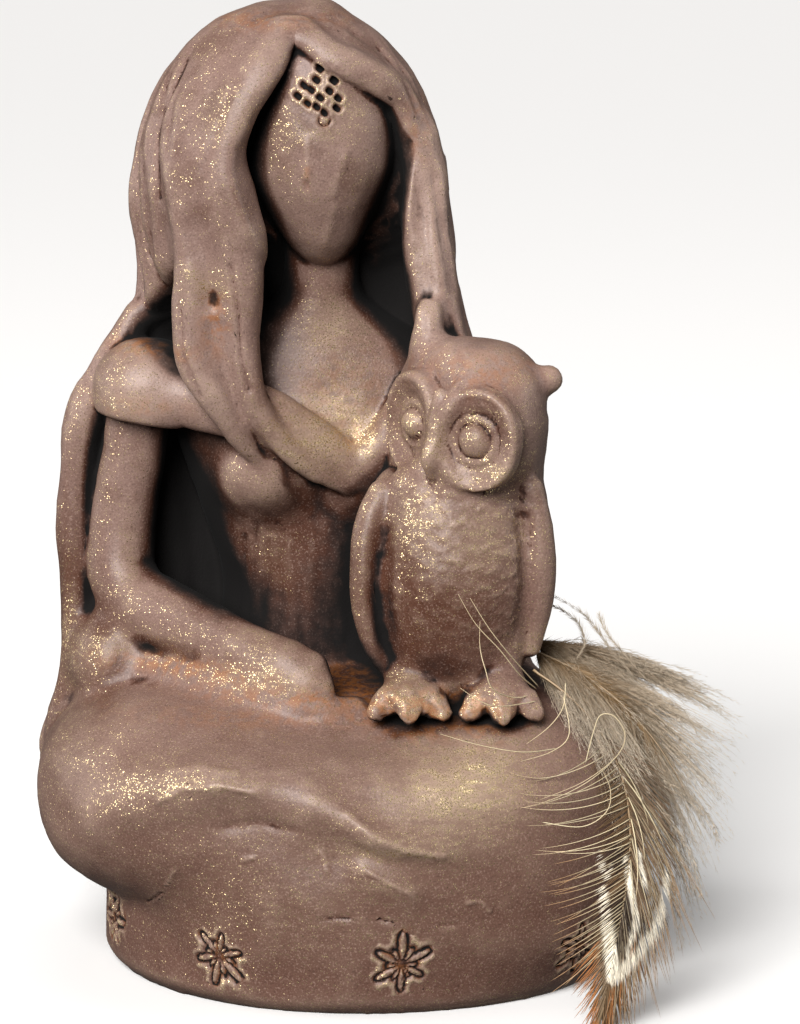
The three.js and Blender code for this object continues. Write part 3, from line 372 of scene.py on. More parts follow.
torso = lofted([
    (24, -6, 8, 18, 14), (36, -6.5, 7, 14.6, 11.5), (44, -7, 6.5, 13.4, 10.5), (52, -6.8, 6, 15.4, 10.5),
    (60, -6.5, 5, 18.6, 10.8), (68, -6, 4, 21.5, 10.8), (76, -6, 4, 22.5, 9), (81, -6, 4, 15, 7.8),
    (86, -5.8, 3.4, 7.6, 6.6), (90, -5.7, 2.6, 5.6, 5.8), (100, -5.7, 2, 5.4, 5.8)])
left_breast = egg((-13.4, -1.6, 62.6), (8.2, 8.4, 7.6))
right_breast = egg((1.5, -0.6, 62), (7.6, 8, 7.4))
sleeve = egg((-30.8, -1.2, 73.6), (8, 8.6, 7.6), 2.2)
SLEEVE_OUTSIDE = -38
SLEEVE_HEM = (70.6, -0.15)  # height of its cut edge at the outside, and slope
left_band = roll([(-31, -6, 74, 3.4), (-23, -7.6, 73, 4.2), (-15, -8.4, 71.4, 4.4), (-8, -8.4, 67.6, 4),
                  (-2, -7.4, 63.2, 3)], 1.5)
right_band = roll([(-0.6, -7.6, 62.8, 2.4), (4, -7, 67, 3), (6.8, -6, 72, 3), (9.6, -4.4, 76, 3),
                   (15, -2, 78, 3)], 1.5)
band_ridge = roll([(-14.8, -11.4, 74, 0.8), (-13.2, -11.2, 71, 1.1), (-11.2, -10.8, 67.6, 1.3),
                   (-8.4, -9.8, 64.6, 1.3), (-5.4, -8.8, 62.2, 1.1), (-2, -7.6, 60.4, 0.6)])
bust_crease = roll([(-12.4, -11, 66, 0.5), (-10.2, -9.8, 62.6, 1), (-8.2, -8.8, 59.4, 1.2),
                    (-6.2, -7, 56, 0.8)])
arm = roll([(-32.2, 0, 72, 4.6), (-32.9, 0, 65, 4.6), (-34, 0.4, 59, 4.7), (-34.8, 0.6, 52, 4.7),
            (-35, 0, 46.5, 5.1), (-32.4, -2.4, 42.6, 5.3), (-27.6, -6.4, 41, 5), (-22, -11, 39.4, 4.5),
            (-16, -15.6, 38, 3.6), (-10.4, -18.6, 37.2, 3.2), (-6.8, -20, 36.6, 2.4)])
palm = roll([(-20, -14, 36.4, 2.6), (-14, -18, 35.4, 3), (-8.6, -20.6, 34.6, 2.8), (-5.4, -21.4, 34.2, 1.8)])
far_sleeve = egg((17.4, 1.4, 71), (7.4, 8, 6.6), 2.2)
far_arm = roll([(18.6, 1.4, 68, 4.6), (20.4, 2.4, 58, 4.5), (21.4, 3, 47, 4.9), (20.4, 0, 41, 4.9),
                (16.4, -3.4, 38.4, 4.4), (11, -5, 36.6, 3.6), (6, -5.6, 35.6, 3)])
elbow_rest = egg((-36, -1, 33.5), (6.4, 8, 8))
cuff = roll([(-32, -6, 34, 2), (-24, -13, 33.4, 2), (-16, -19, 32, 1.8), (-7, -22.4, 31, 1.4),
             (-1, -21, 31, 0.8)])


def cut_sleeve(p):
    below_hem = SLEEVE_HEM[0] + SLEEVE_HEM[1] * (p[0] - SLEEVE_OUTSIDE) - p[2]
    return carve(sleeve(p), -below_hem, 0.8)


def body(p):
    return worked(torso(p), p, (
        (join, left_breast, 3), (join, right_breast, 3), (join, cut_sleeve, 1.5), (join, left_band, 1.2),
        (join, right_band, 1.2), (join, band_ridge, 1.5), (carve, bust_crease, 1.2)))


# The head: a blank oval under a high forehead

CHIN_TAPER = 0.3  # how much narrower the face is at the chin than its oval
FACE_MIDDLE = -5.6
face_oval = egg((FACE_MIDDLE, -1.4, 110.4), (10.9, 12, 17), 2.1, 18.2)
forehead = egg((-6.8, 1.5, 113), (9.6, 13.6, 17.5))


def face(p):
    x, y, z = p
    taper = CHIN_TAPER * smoothstep(107, 94, z)
    widened = FACE_MIDDLE + (x - FACE_MIDDLE) * (1 + taper)
    return face_oval(np.array([widened, y, z])) / (1 + 0.5 * taper)


# The hair

crown = egg((-10.4, 2.6, 104), (22.6, 21.4, 26))
mantle = lofted([
    (-2, -6, 9, 30, 24), (8, -8, 10, 37.5, 23.5), (17, -9, 11, 40, 22), (26, -9.4, 11, 36.6, 20),
    (34, -9.5, 11, 34.6, 18.6), (50, -9.6, 10, 34.6, 18), (62, -9.7, 9, 34, 17.6),
    (74, -9.7, 8, 29.6, 17.2), (82, -9.7, 7, 24.6, 17), (88, -9.8, 6, 23.2, 17.5), (95, -10, 5, 22.8, 18),
    (104, -10.4, 3.6, 21.6, 18.6), (114, -10.4, 3, 17, 15)])
face_opening = outline([
    (-9.6, 126.8), (-11.9, 121.4), (-15.5, 115.8), (-18, 110.2), (-18.2, 107.3), (-17.5, 104.5),
    (-15.6, 99.5), (-14, 95.2), (-13.6, 86), (-13.6, 74), (9, 74), (8.6, 88), (6.8, 96), (6.4, 100),
    (6.9, 103.5), (7.6, 110.2), (5.1, 115.8), (0.2, 118.9), (-5.5, 122)])
front_lock = roll([(-23, -8.6, 112, 4), (-22.2, -10.6, 105, 6), (-20.9, -11.8, 97, 6.4),
                   (-20.2, -11.4, 89, 5.9), (-20, -11, 82, 4.6), (-18.6, -10, 75, 3),
                   (-17, -8.6, 69.6, 1.6)], 1.5)
left_hair_edge = roll([(-10.6, -8.2, 126.6, 0.8), (-13.2, -11.8, 121, 1.6), (-16.8, -13.4, 115.4, 1.9),
                       (-19.4, -13.6, 109, 2), (-19, -13.4, 103.4, 2.2), (-17.2, -12.8, 98, 2.2)])
right_hair_edge = roll([(-8, -8, 126.6, 0.8), (-4.2, -10.2, 123.2, 1.6), (1.4, -9.4, 120.2, 2),
                        (5.6, -7, 117, 2), (8.2, -5.8, 111, 2.2)])
behind_lock = roll([(-30.4, -8.4, 112, 1), (-30.2, -11, 105, 1.9), (-29.8, -11.8, 98, 2.5),
                    (-29.8, -10.4, 91, 3)])
lock_slit = roll([(-23.8, -17.6, 104, 0.4), (-23, -17.9, 98.6, 1.8), (-21.6, -18.3, 93.4, 2.2),
                  (-20.8, -17.8, 89, 1.9)])
left_strand = roll([(-23.8, -13.4, 92, 1.6), (-24.2, -12.8, 86, 2.4), (-23.6, -12.4, 80, 2.8),
                    (-21.4, -12.6, 75.4, 2.5), (-18.8, -12, 71, 1.9), (-16.4, -10.6, 67.2, 1.4),
                    (-14, -9, 64, 0.8)])
right_strand = roll([(-17.2, -14.2, 98, 2), (-16.6, -14.2, 91, 2.6), (-16.7, -13.2, 84, 2.4),
                     (-16.2, -12.6, 78, 2.1), (-14.8, -12.2, 73, 1.9), (-12.2, -11.4, 69, 1.7),
                     (-9.4, -10.4, 65.4, 1.4), (-6.4, -9, 62.6, 0.9)])
strand_groove = roll([(-20.8, -15.6, 85, 0.9), (-20.2, -15.4, 80.6, 0.8), (-18.6, -14.6, 76, 0.7),
                      (-16.6, -13.8, 71.6, 0.6)])
hair_bead = egg((9.8, -13.2, 86), (1.9, 1.9, 2.4))
right_lock = roll([(7.8, -4.4, 112, 2.2), (9.6, -6, 105, 3), (9.6, -7.2, 97, 3.3), (10.4, -8.2, 89, 3.5),
                   (12, -8.6, 81, 3.6)])
side_lock = roll([(8.8, 0, 106, 3.2), (10.2, -1, 97, 3.3), (10.8, -2.4, 89, 3.4), (13, -3, 81, 3.6)])
outer_lock = roll([(-32.6, 4, 84, 2), (-36.6, 3.4, 76.6, 2.8), (-40.4, 2.6, 69, 2.9), (-41.8, 3, 60, 2.7),
                   (-41.8, 3.4, 46, 2.7), (-41.4, 3, 34, 2.8), (-43.4, 3.4, 25, 3), (-45.4, 5, 17, 2)])
knee_tail = roll([(-37, 4, 42, 2), (-39, 2.4, 31, 2.8), (-42.6, 2.5, 23.6, 3), (-44.6, 4, 18, 2)])

LOCK_COUNT = 20  # rounded locks around the mane
LOCK_RELIEF = 1.3
MANE_AXIS = (-10, 6)


def round_mane(p):
    """The angle of each place round the mane, and how far the locks have drifted sideways at its height."""
    around = np.arctan2(p[1] - MANE_AXIS[1], p[0] - MANE_AXIS[0])
    return around, 1.3 * np.sin(p[2] * 0.045 + 0.8) + 0.5 * np.sin(p[2] * 0.09 + around * 3)


def lock_relief(p):
    """How far the clay is sunk between the long locks."""
    _, y, z = p
    around, drift = round_mane(p)
    crest = np.abs(np.sin(0.5 * LOCK_COUNT * around + drift))
    return LOCK_RELIEF * (1 - crest) * smoothstep(128, 108, z) * smoothstep(-11, -4, y)


def mane_front(x, z):
    """Where the mane is cut off in front: it hangs behind the shoulders, and comes forward by the head."""
    over_head = 16 * smoothstep(80, 96, z) + 18 * smoothstep(91, 103, z)
    next_to_owl = 11.4 * smoothstep(1, 11, x) * smoothstep(64, 82, z)
    behind_waist = 5 * smoothstep(28, 12, np.abs(x + 9.7))
    return 2.4 - over_head - next_to_owl + behind_waist


CUT_SLOPE = 0.6  # brings the height above the mane's slanted cut near to a distance from it


def hair(p):
    x, y, z = p
    clay = join(crown(p), mantle(p), 3) + lock_relief(p)
    clay = carve(clay, CUT_SLOPE * (y - mane_front(x, z)), 3)
    opening_back = 4 - 8 * smoothstep(90, 106, z)
    clay = carve(clay, np.maximum(face_opening(x, z), y - opening_back), 2)
    return worked(clay, p, (
        (join, front_lock, 3), (join, left_hair_edge, 5), (join, right_hair_edge, 3), (join, right_lock, 2),
        (join, side_lock, 3), (join, outer_lock, 1.5), (join, knee_tail, 2), (carve, behind_lock, 2.5),
        (carve, lock_slit, 2.6), (join, left_strand, 2), (join, right_strand, 2.5),
        (carve, strand_groove, 0.8), (join, hair_bead, 2.5)))


def arm_and_hand(p):
    return join(arm(p), palm(p), 2)


def head(p):
    return join(face(p), forehead(p), 2)


def woman(p):
    return worked(body(p), p, (
        (join, hair, 1), (join, arm_and_hand, 1), (join, far_sleeve, 1.5), (join, far_arm, 1),
        (join, head, 0.8), (join, skirt, 2), (join, elbow_rest, 3), (join, cuff, 3)))


# The owl, in its own frame: the origin is on the lap between its feet

OWL_YAW = -0.46  # it looks towards its right
OWL_TILT = -0.1
LEFT_FOLD = 0.55  # its left disc is turned back by so much more
FOLD_AT = -9.5  # in front of the head's middle, the upright line that the disc is folded about
HEAD_AT = (1.9, -0.6, 38.6)
owl_body = lofted([
    (-2, -0.4, 2, 8.5, 9), (3, -0.4, 2, 10.4, 11), (7, -0.3, 2, 12.2, 12.8), (12, -0.2, 1.8, 13.7, 14.2),
    (18, 0, 1.6, 14.2, 14.6), (25, 0.4, 1.6, 13.3, 13.8), (31, 1, 1.4, 11.6, 12.4),
    (38, 1.6, 0.6, 11, 11.6)])
owl_head = egg((1.9, -0.6, 39.4), (11.5, 11.2, 11.4), 2.4)
left_wing = roll([(-10.2, -4, 29, 2), (-12, -5.4, 24, 2.4), (-12.2, -6, 17, 2.5), (-11.4, -5.6, 9, 2.2),
                  (-9, -4, 3.4, 1.4)])
right_wing = roll([(11, -6, 30, 1.8), (12, -6, 22, 2.3), (12, -5.4, 14, 2.2), (11, -4.6, 7, 1.6)])
right_ear = roll([(7.6, -3, 44.4, 2.4), (10.8, -2.6, 45, 1.7), (13.4, -2, 44.9, 1.9)])
left_ear = egg((-3.6, 1.5, 50), (2.4, 2.4, 3.4))
owl_tail = egg((4, 9, 6), (7, 6, 8))
LEGS_AT = (-6.4, 6.8)
legs = [roll([(across, -5, 8, 3), (across, -6, 2, 2.4)]) for across in LEGS_AT]
toes = [roll([(across, -6, 1.4, 2),
              (across + 4.2 * math.sin(spread), -6.5 - 4 * math.cos(spread), 0.2, 1.9),
              (across + 6.6 * math.sin(spread), -6.5 - 6 * math.cos(spread), -1.4, 1.2)])
        for across in LEGS_AT for spread in (-0.8, 0, 0.8)]
wing_groove = roll([(-9.4, -8.4, 28, 0.5), (-10.2, -9, 23, 1), (-10.4, -9.3, 15, 1.3), (-9.6, -8.4, 8, 1),
                    (-8.2, -6.6, 4, 0.6)])
right_wing_groove = roll([(9.8, -8.6, 26, 0.5), (10.4, -8.9, 18, 0.9), (9.6, -8.2, 8, 0.6)])

DISC_SIDE = 6.3  # each eye's disc stands this far off the beak's line
DISC_RADII = (6.4, 2.4, 7.4)
EYE_RING = 3.1  # radius of the ring round the pupil


def ring(centre, radii, thickness, count=20):
    """An upright oval of clay round a centre, facing forwards."""
    angles = [2 * math.pi * n / count for n in range(count + 1)]
    x, y, z = centre
    return roll([(x + radii[0] * math.cos(a), y, z + radii[1] * math.sin(a), thickness) for a in angles],
                steps=1)


face_disc = egg((DISC_SIDE, -8.6, 0), DISC_RADII)
disc_hollow = egg((DISC_SIDE + 0.1, -12.1, -0.2), (5.5, 3, 6.5))
eye_hollow = egg((DISC_SIDE - 0.3, -10.9, -0.2), (3, 1.7, 3))
pupil = egg((DISC_SIDE - 0.3, -9.2, -0.2), (2.5, 2.3, 2.5))
eye_ring = ring((DISC_SIDE - 0.3, -9.6, -0.2), (EYE_RING, EYE_RING), 0.55)
disc_rim = ring((DISC_SIDE + 0.1, -10.1, -0.1), (5.6, 6.7), 0.6, 28)
owl_chin = egg((-2.2, -7.4, -8.6), (5, 3, 3.4))
beak = roll([(0, -9.8, 5.4, 0.8), (0, -10.5, 0, 1), (0, -11.4, -3.6, 1.3), (0, -10.6, -6, 0.7)])


def disc_frames(p):
    """Points as each disc sees them: the right one as they are, the left one folded back and mirrored."""
    x, y, z = p
    folded = x * math.cos(LEFT_FOLD) - (y - FOLD_AT) * math.sin(LEFT_FOLD)
    forward = x * math.sin(LEFT_FOLD) + (y - FOLD_AT) * math.cos(LEFT_FOLD) + FOLD_AT
    return p, np.array([-folded, forward, z])


def owl_face(clay, p):
    """The owl's face, in a frame with its origin inside the head and -Y towards the beak."""
    right, left = disc_frames(p)
    before_disc = np.maximum(np.maximum(left[1] + 8.2, -0.5 - left[0]), -8 - left[2])
    clay = carve(clay, before_disc, 3)
    for q in (right, left):
        clay = worked(clay, q, (
            (join, face_disc, 0.8), (carve, disc_hollow, 0.6), (join, disc_rim, 1.3), (join, eye_ring, 0.5),
            (carve, eye_hollow, 0.4), (join, pupil, 0.3)))
    return worked(clay, p, ((join, owl_chin, 1.6), (join, beak, 0.8)))


OWL_MIDDLE = 25  # height of the owl's middle
OWL_BALL = 32  # radius of a ball that holds it, which stands for it from afar
WORKED_OUT_TO = 44


def owl(p):
    away = np.sqrt(p[0] ** 2 + p[1] ** 2 + (p[2] - OWL_MIDDLE) ** 2)
    values = (away - OWL_BALL).astype(np.float32)
    near = away < WORKED_OUT_TO
    if not near.any():
        return values
    q = p[:, near]
    clay = join(owl_body(q), owl_head(q), 3)
    clay = owl_face(clay, turned(q, HEAD_AT, OWL_YAW, OWL_TILT))
    values[near] = worked(clay, q, (
        (join, right_ear, 1.4), (join, left_ear, 2), (join, left_wing, 1), (join, right_wing, 1),
        (join, owl_tail, 2), (carve, wing_groove, 2), (carve, right_wing_groove, 1.6),
        *[(join, leg, 1.5) for leg in legs], *[(join, toe, 2.2) for toe in toes]))
    return values


def in_figure(p):
    """Points of the whole part, in the figure's own units above the base."""
    return np.array([p[0], p[1], p[2] - BASE_HEIGHT]) / FIGURE_SCALE


def in_owl(p):
    """Points of the whole part, in the owl's own frame."""
    return (p - OWL_PLACE[:, None]) / OWL_SCALE


def base(p):
    """The low drum under the skirt, with a flat underside."""
    from_axis = np.hypot(p[0], p[1]) - BASE_DIAMETER / 2 + BASE_EDGE
    from_middle = np.abs(p[2] - BASE_HEIGHT) - BASE_HEIGHT + BASE_EDGE
    corner = np.hypot(np.maximum(from_axis, 0), np.maximum(from_middle, 0))
    return np.minimum(np.maximum(from_axis, from_middle), 0) + corner - BASE_EDGE


def casting(p):
    """Distance in millimetres from points to the clay, negative inside."""
    figure = woman(in_figure(p)) * FIGURE_SCALE
    bird = owl(in_owl(p)) * OWL_SCALE
    hem_blend = 1.2 + 4.8 * smoothstep(-33, -18, p[0] / FIGURE_SCALE)
    clay = join(join(figure, bird, 1.2), base(p), hem_blend)
    return np.maximum(clay, -p[2]).astype(np.float32)


# The clay as a mesh

BLOCK = 16  # samples along a block
CELL = 4  # samples along one cell of a block


def cube_of(count):
    """The whole numbers of a cube's points, 3 by count cubed."""
    return np.array(np.meshgrid(*[np.arange(count)] * 3, indexing="ij"), np.float32).reshape(3, -1)


def sampled(form, low, high, step):
    """Distances on a grid, worked out in full only in the cells that the surface passes through."""
    blocks = np.ceil((high - low) / step / BLOCK).astype(int) + 1
    values = np.empty(blocks * BLOCK, np.float32)
    cells = BLOCK // CELL
    cell_middles = cube_of(cells) * CELL + (CELL - 1) / 2
    in_cell = cube_of(CELL)
    block_reach = 1.5 * BLOCK * step
    cell_reach = 1.7 * CELL * step
    for i, j, k in np.ndindex(*blocks):
        corner = np.array([i, j, k]) * BLOCK
        start = (low + corner * step)[:, None].astype(np.float32)
        middle = form(start + BLOCK * step / 2)
        part = values[corner[0]:corner[0] + BLOCK, corner[1]:corner[1] + BLOCK, corner[2]:corner[2] + BLOCK]
        if abs(middle[0]) > block_reach:
            part[:] = middle[0]
            continue
        there = form(start + cell_middles * step)
        block = np.repeat(there[:, None], CELL ** 3, axis=1)
        busy = np.abs(there) < cell_reach
        if busy.any():
            points = cell_middles[:, busy, None] - (CELL - 1) / 2 + in_cell[:, None, :]
            block[busy] = form(start + points.reshape(3, -1) * step).reshape(-1, CELL ** 3)
        block = block.reshape((cells,) * 3 + (CELL,) * 3).transpose(0, 3, 1, 4, 2, 5)
        part[:] = block.reshape((BLOCK,) * 3)
    return values


def mesh_of(values, low, step):
    """The closed surface between inside and outside of a sampled form, in millimetres."""
    grid = openvdb.FloatGrid(background=float(values.max()))
    grid.copyFromArray(values)
    points, triangles, quads = grid.convertToPolygons(0.0, 0.0)
    mesh = bpy.data.meshes.new("clay")
    faces = [tuple(face) for face in quads.tolist()] + [tuple(face) for face in triangles.tolist()]
    mesh.from_pydata((points * step + low).tolist(), [], faces)
    mesh.update()
    return mesh


def coordinates(mesh):
    co = np.empty(len(mesh.vertices) * 3, np.float32)
    mesh.vertices.foreach_get("co", co)
    return co.reshape(-1, 3).T


def normals(mesh):
    found = np.empty(len(mesh.vertices) * 3, np.float32)
    mesh.vertex_normals.foreach_get("vector", found)
    return found.reshape(-1, 3).T


def thinned(obj, facets):
    """Merges the facets that matter least until so many are left."""
    mesh = obj.data
    mesh.calc_loop_triangles()
    now = len(mesh.loop_triangles)
    modifier = obj.modifiers.new("Thin", "DECIMATE")
    modifier.ratio = min(1, facets / now)
    modifier.use_collapse_triangulate = True
    apply_modifiers(obj)


def apply_modifiers(obj):
    evaluated = obj.evaluated_get(bpy.context.evaluated_depsgraph_get())
    mesh = bpy.data.meshes.new_from_object(evaluated)
    obj.modifiers.clear()
    old = obj.data
    obj.data = mesh
    bpy.data.meshes.remove(old)


FEW_EDGES = 50  # so few long edges are left as they are


def refined(obj, wanted_edge, passes=4):
    """Splits the edges that are longer than wanted_edge gives for their place, in millimetres."""
    work = bmesh.new()
    work.from_mesh(obj.data)
    for _ in range(passes):
        work.verts.index_update()
        co = np.array([v.co for v in work.verts], np.float32).T
        wanted = wanted_edge(co)
        ends = np.array([(e.verts[0].index, e.verts[1].index) for e in work.edges])
        lengths = np.linalg.norm(co[:, ends[:, 0]] - co[:, ends[:, 1]], axis=0)
        too_long = lengths > np.minimum(wanted[ends[:, 0]], wanted[ends[:, 1]])
        if too_long.sum() < FEW_EDGES:
            break
        edges = list(work.edges)
        long_edges = [edges[n] for n in np.nonzero(too_long)[0]]
        bmesh.ops.subdivide_edges(work, edges=long_edges, cuts=1, use_grid_fill=True)
        many_sided = [f for f in work.faces if len(f.verts) > 3]
        bmesh.ops.triangulate(work, faces=many_sided, quad_method="SHORT_EDGE")
    work.to_mesh(obj.data)
    work.free()


# The finer relief, as depths along the surface's own direction

STAMP_HEIGHT = 7.6  # the rosettes' centres above the floor
STAMP_START = math.radians(-31)
LINE_WIDTH = 0.3
FOREHEAD = (-5.5, 127.6)  # centre of the pressed lattice, x and z of the whole part
PITS = ((-2.35, 1.7), (-0.55, 2.5), (1.95, 2.3), (-1.3, 1.1), (0, 0), (1.4, 0.9), (-1.9, -0.8), (2.6, -0.1),
        (2.5, -1.5), (-0.5, -1.3), (0.6, -2.1), (-3.3, 0.2), (-0.1, 4))
PIT_RING = (0.6, -3.2, 0.8)  # its place in the stamp, and its radius
PIT_RADII = (0.7, 0.52)
PIT_DEPTH = 0.9
# Lines drawn with a tool in the front of the clay: height, half width, then places (x, z) along the line
STROKES = (
    (-0.6, 1.7, ((-23.4, 109), (-22.6, 106), (-21.8, 102.6), (-20.9, 99))),
    (-0.25, 0.9, ((-20.9, 99.8), (-20.7, 98.4))),
    (-0.3, 0.8, ((3.9, 67.5), (2.4, 60), (2.8, 53), (4.6, 48.5))),
    (-0.5, 1.1, ((7.4, 121), (8.6, 113), (9.6, 105), (10.2, 98))),
    (-0.45, 0.8, ((10.8, 116), (12, 108), (13.2, 100))), (-0.2, 0.5, ((8.3, 106), (8.9, 100), (9.4, 95))),
    (-0.25, 0.6, ((12.6, 98), (13.4, 95), (14.4, 91))),
    (-0.5, 0.6, ((-30.6, 128), (-31.6, 120), (-31, 112), (-30.2, 104))),
    (-0.4, 0.5, ((-27.6, 131), (-28.6, 122), (-28.8, 113))),
    (-0.35, 0.5, ((-24, 134.6), (-27, 127), (-27.4, 119))),
    (-0.2, 0.6, ((-17, 131), (-20, 124), (-22, 118))),
    (-0.4, 0.4, ((-18.2, 104), (-17.2, 97), (-16.9, 91), (-15.8, 86))),
    (-0.35, 0.4, ((-25.6, 98), (-25.2, 91), (-22.8, 85))),
    (-0.3, 0.5, ((-13, 139), (-4, 138.4), (3, 134))), (-0.3, 0.5, ((-1, 137), (6, 131), (9.6, 123))),
    (0.3, 0.6, ((-7.5, 121.6), (-7.3, 118.6), (-7.5, 116.4))),
    (-0.25, 0.35, ((-7.4, 115.6), (-7.4, 114.8))), (0.3, 0.7, ((-1.9, 120.1), (-3, 116.6), (-3.8, 114))),
    (0.2, 0.7, ((-3.7, 112), (-4.2, 109.2), (-4.9, 106.4))),
    (0.3, 0.3, ((-5.4, 24.3), (-4.6, 23), (-4.4, 21.5))),
    (-0.3, 0.2, ((-5.4, 14.4), (-3.4, 14.8), (-1.1, 14.7))),
    (-0.35, 0.2, ((2.1, 14.9), (3.6, 14.4), (4.9, 14.1))),
    (0.3, 0.25, ((15.3, 16.6), (17, 16.6), (18.5, 15.2))), (-0.2, 0.2, ((11.2, 13.4), (14.7, 13.6))),
    (0.25, 0.25, ((-26.2, 20), (-27.4, 17.4))), (-0.25, 0.2, ((-28, 16), (-30.4, 13.2))),
    (0.25, 0.3, ((-16.4, 22.6), (-14.8, 23))),
    (0.3, 0.5, ((-28.2, 30.6), (-24.6, 32.6), (-19.4, 33.4), (-14.6, 32.6))),
    (0.35, 0.5, ((-1.6, 29.6), (2.6, 26.4), (6.4, 24.8), (12, 23.6))),
    (0.25, 0.3, ((1.4, 21.6), (4.4, 20), (7.4, 18.4))),
    (0.25, 0.4, ((-27, 34.6), (-22, 35.4), (-17, 35.2))), (-0.3, 0.8, ((-19, 27), (-14, 28), (-9, 27.2))))
PLEATS_AT = (-17.4, -15.9, -14.6, -12.6, -10.2, -7.4, -5, -3.1)


def line_groove(distance, width):
    return np.exp(-(distance / width) ** 2)


def to_nearest_stamp(p, settings):
    """Places in the nearest rosette's square, in shares of its half width, and the angle from the front."""
    angle, radius = np.arctan2(p[0], -p[1]), np.hypot(p[0], p[1])
    spacing = 2 * math.pi / settings.stamp_count
    off = (angle - STAMP_START + spacing / 2) % spacing - spacing / 2
    half = settings.stamp_width / 2
    return off * radius / half, (p[2] - STAMP_HEIGHT) / half, angle


def stamp_relief(p, settings):
    """Looped rosettes pressed in a row round the base: six long petals, six short ones and a small ring."""
    u, v, angle = to_nearest_stamp(p, settings)
    half = settings.stamp_width / 2
    number = np.round((angle - STAMP_START) * settings.stamp_count / (2 * math.pi))
    radius, around = np.hypot(u, v), np.arctan2(v, u) + 0.8 * number
    radius = radius * (1 + 0.14 * np.sin(around + 2.1 * number) + 0.1 * np.sin(2 * around + number))
    depth, lip = np.zeros_like(u), np.zeros_like(u)
    for reach, turn, petals in ((1, 0.26, 3), (0.58, 0.26 + math.pi / 6, 3)):
        petal = reach * np.cos(petals * (around - turn)) ** 2
        slope = petals * reach * np.abs(np.sin(2 * petals * (around - turn))) / np.maximum(radius, 0.1)
        off = np.abs(radius - petal) / np.sqrt(1 + slope ** 2) * half
        depth = np.maximum(depth, line_groove(off, LINE_WIDTH))
        lip = np.maximum(lip, line_groove(off - 2.2 * LINE_WIDTH, LINE_WIDTH))
    depth = np.maximum(depth, line_groove(np.abs(radius - 0.13) * half, LINE_WIDTH))
    on_side = smoothstep(1.16, 1.04, radius) * (p[2] < 20) * (np.hypot(p[0], p[1]) > 28)
    return settings.stamp_depth * (0.4 * lip * (1 - depth) - depth) * on_side


def lattice_relief(p):
    """A flower stamp of leaning pits, pressed in the forehead, with a ring at its foot."""
    u, v = p[0] - FOREHEAD[0], p[2] - FOREHEAD[1]
    lean = math.radians(-38)
    relief = np.zeros(p.shape[1], np.float32)
    for across, up in PITS:
        a = (u - across) * math.cos(lean) + (v - up) * math.sin(lean)
        b = (v - up) * math.cos(lean) - (u - across) * math.sin(lean)
        off = (np.abs(a / PIT_RADII[0]) ** 3 + np.abs(b / PIT_RADII[1]) ** 3) ** (1 / 3)
        relief -= PIT_DEPTH * smoothstep(1.15, 0.5, off)
        relief += 0.09 * line_groove(off - 1.45, 0.3)
    ring = np.abs(np.hypot(u - PIT_RING[0], v - PIT_RING[1]) - PIT_RING[2])
    return (relief - 0.3 * line_groove(ring, 0.22)) * (p[1] < -6)


def scallop_relief(p, settings):
    """Broken wavy rows of feathers across the owl's breast."""
    x, y, z = in_owl(p)
    around = np.arctan2(x, -(y - 1.6))
    u, v = around * 14 / 1.9, z / 1.1
    v = v + 0.5 * np.sin(0.9 * u + 1) + 0.3 * np.sin(2.1 * u - 0.7 * v) + 0.25 * np.sin(1.1 * v + 3.3 * u)
    row = np.floor(v)
    edge = v - row
    broken = smoothstep(-0.7, 0.5, np.sin(1.7 * u + 2.4 * row) + 0.5 * np.sin(3.9 * u - 1.3 * row))
    swell = smoothstep(0, 0.3, edge) * smoothstep(1, 0.35, edge) * broken
    near = smoothstep(0.95, 0.75, np.abs(around)) * smoothstep(5, 9, z) * smoothstep(32.5, 29, z)
    near = near * (0.35 + 0.65 * smoothstep(-7, 4, 0.55 * (z - 18) + x))  # plainest at the lower left
    out = smoothstep(9.2, 11, np.hypot(x, y - 1.6))
    return settings.scallop_depth * (swell - 0.4) * near * out * (y < 0)


def disc_relief(p):
    """Small feather strokes round the owl's eye discs."""
    depth = 0
    for x, y, z in disc_frames(turned(in_owl(p), HEAD_AT, OWL_YAW, OWL_TILT)):
        u, v = (x - DISC_SIDE + 0.3) / 5.8, (z + 0.2) / 6.8
        radius, around = np.hypot(u, v), np.arctan2(v, u)
        strokes = np.abs(np.sin(23 * around))
        on_ring = smoothstep(0.6, 0.7, radius) * smoothstep(1.08, 0.9, radius)
        depth = depth + on_ring * (1 - strokes) ** 2 * (y < -7)
    return -0.1 * depth


def foot_relief(p):
    """Wrinkles where the owl's feet were pressed on to the lap."""
    x, y, z = in_owl(p)
    folds = np.sin(2.6 * x + 1.3 * y + 1.4 * np.sin(1.1 * y + 0.7 * z))
    folds = folds * np.sin(1.9 * y - 1.2 * z + 0.9 * np.sin(1.6 * x))
    beside = np.minimum(np.abs(x - LEGS_AT[0]), np.abs(x - LEGS_AT[1]))
    low = smoothstep(3.2, 1, z) * smoothstep(-5, -3, z)
    near = low * smoothstep(-8.5, -10, y) * smoothstep(6, 4.5, beside)
    return 0.3 * folds * near


def bodice_relief(p):
    """Narrow upright pleats down the bodice."""
    x, y, z = in_figure(p)
    ridges = sum(line_groove(x - at - 0.35 * np.sin(z * 0.3 + at), 0.42) for at in PLEATS_AT)
    return 0.3 * ridges * smoothstep(35, 39, z) * smoothstep(57, 54, z) * (y < 0) * (y > -9) * (x < 2)


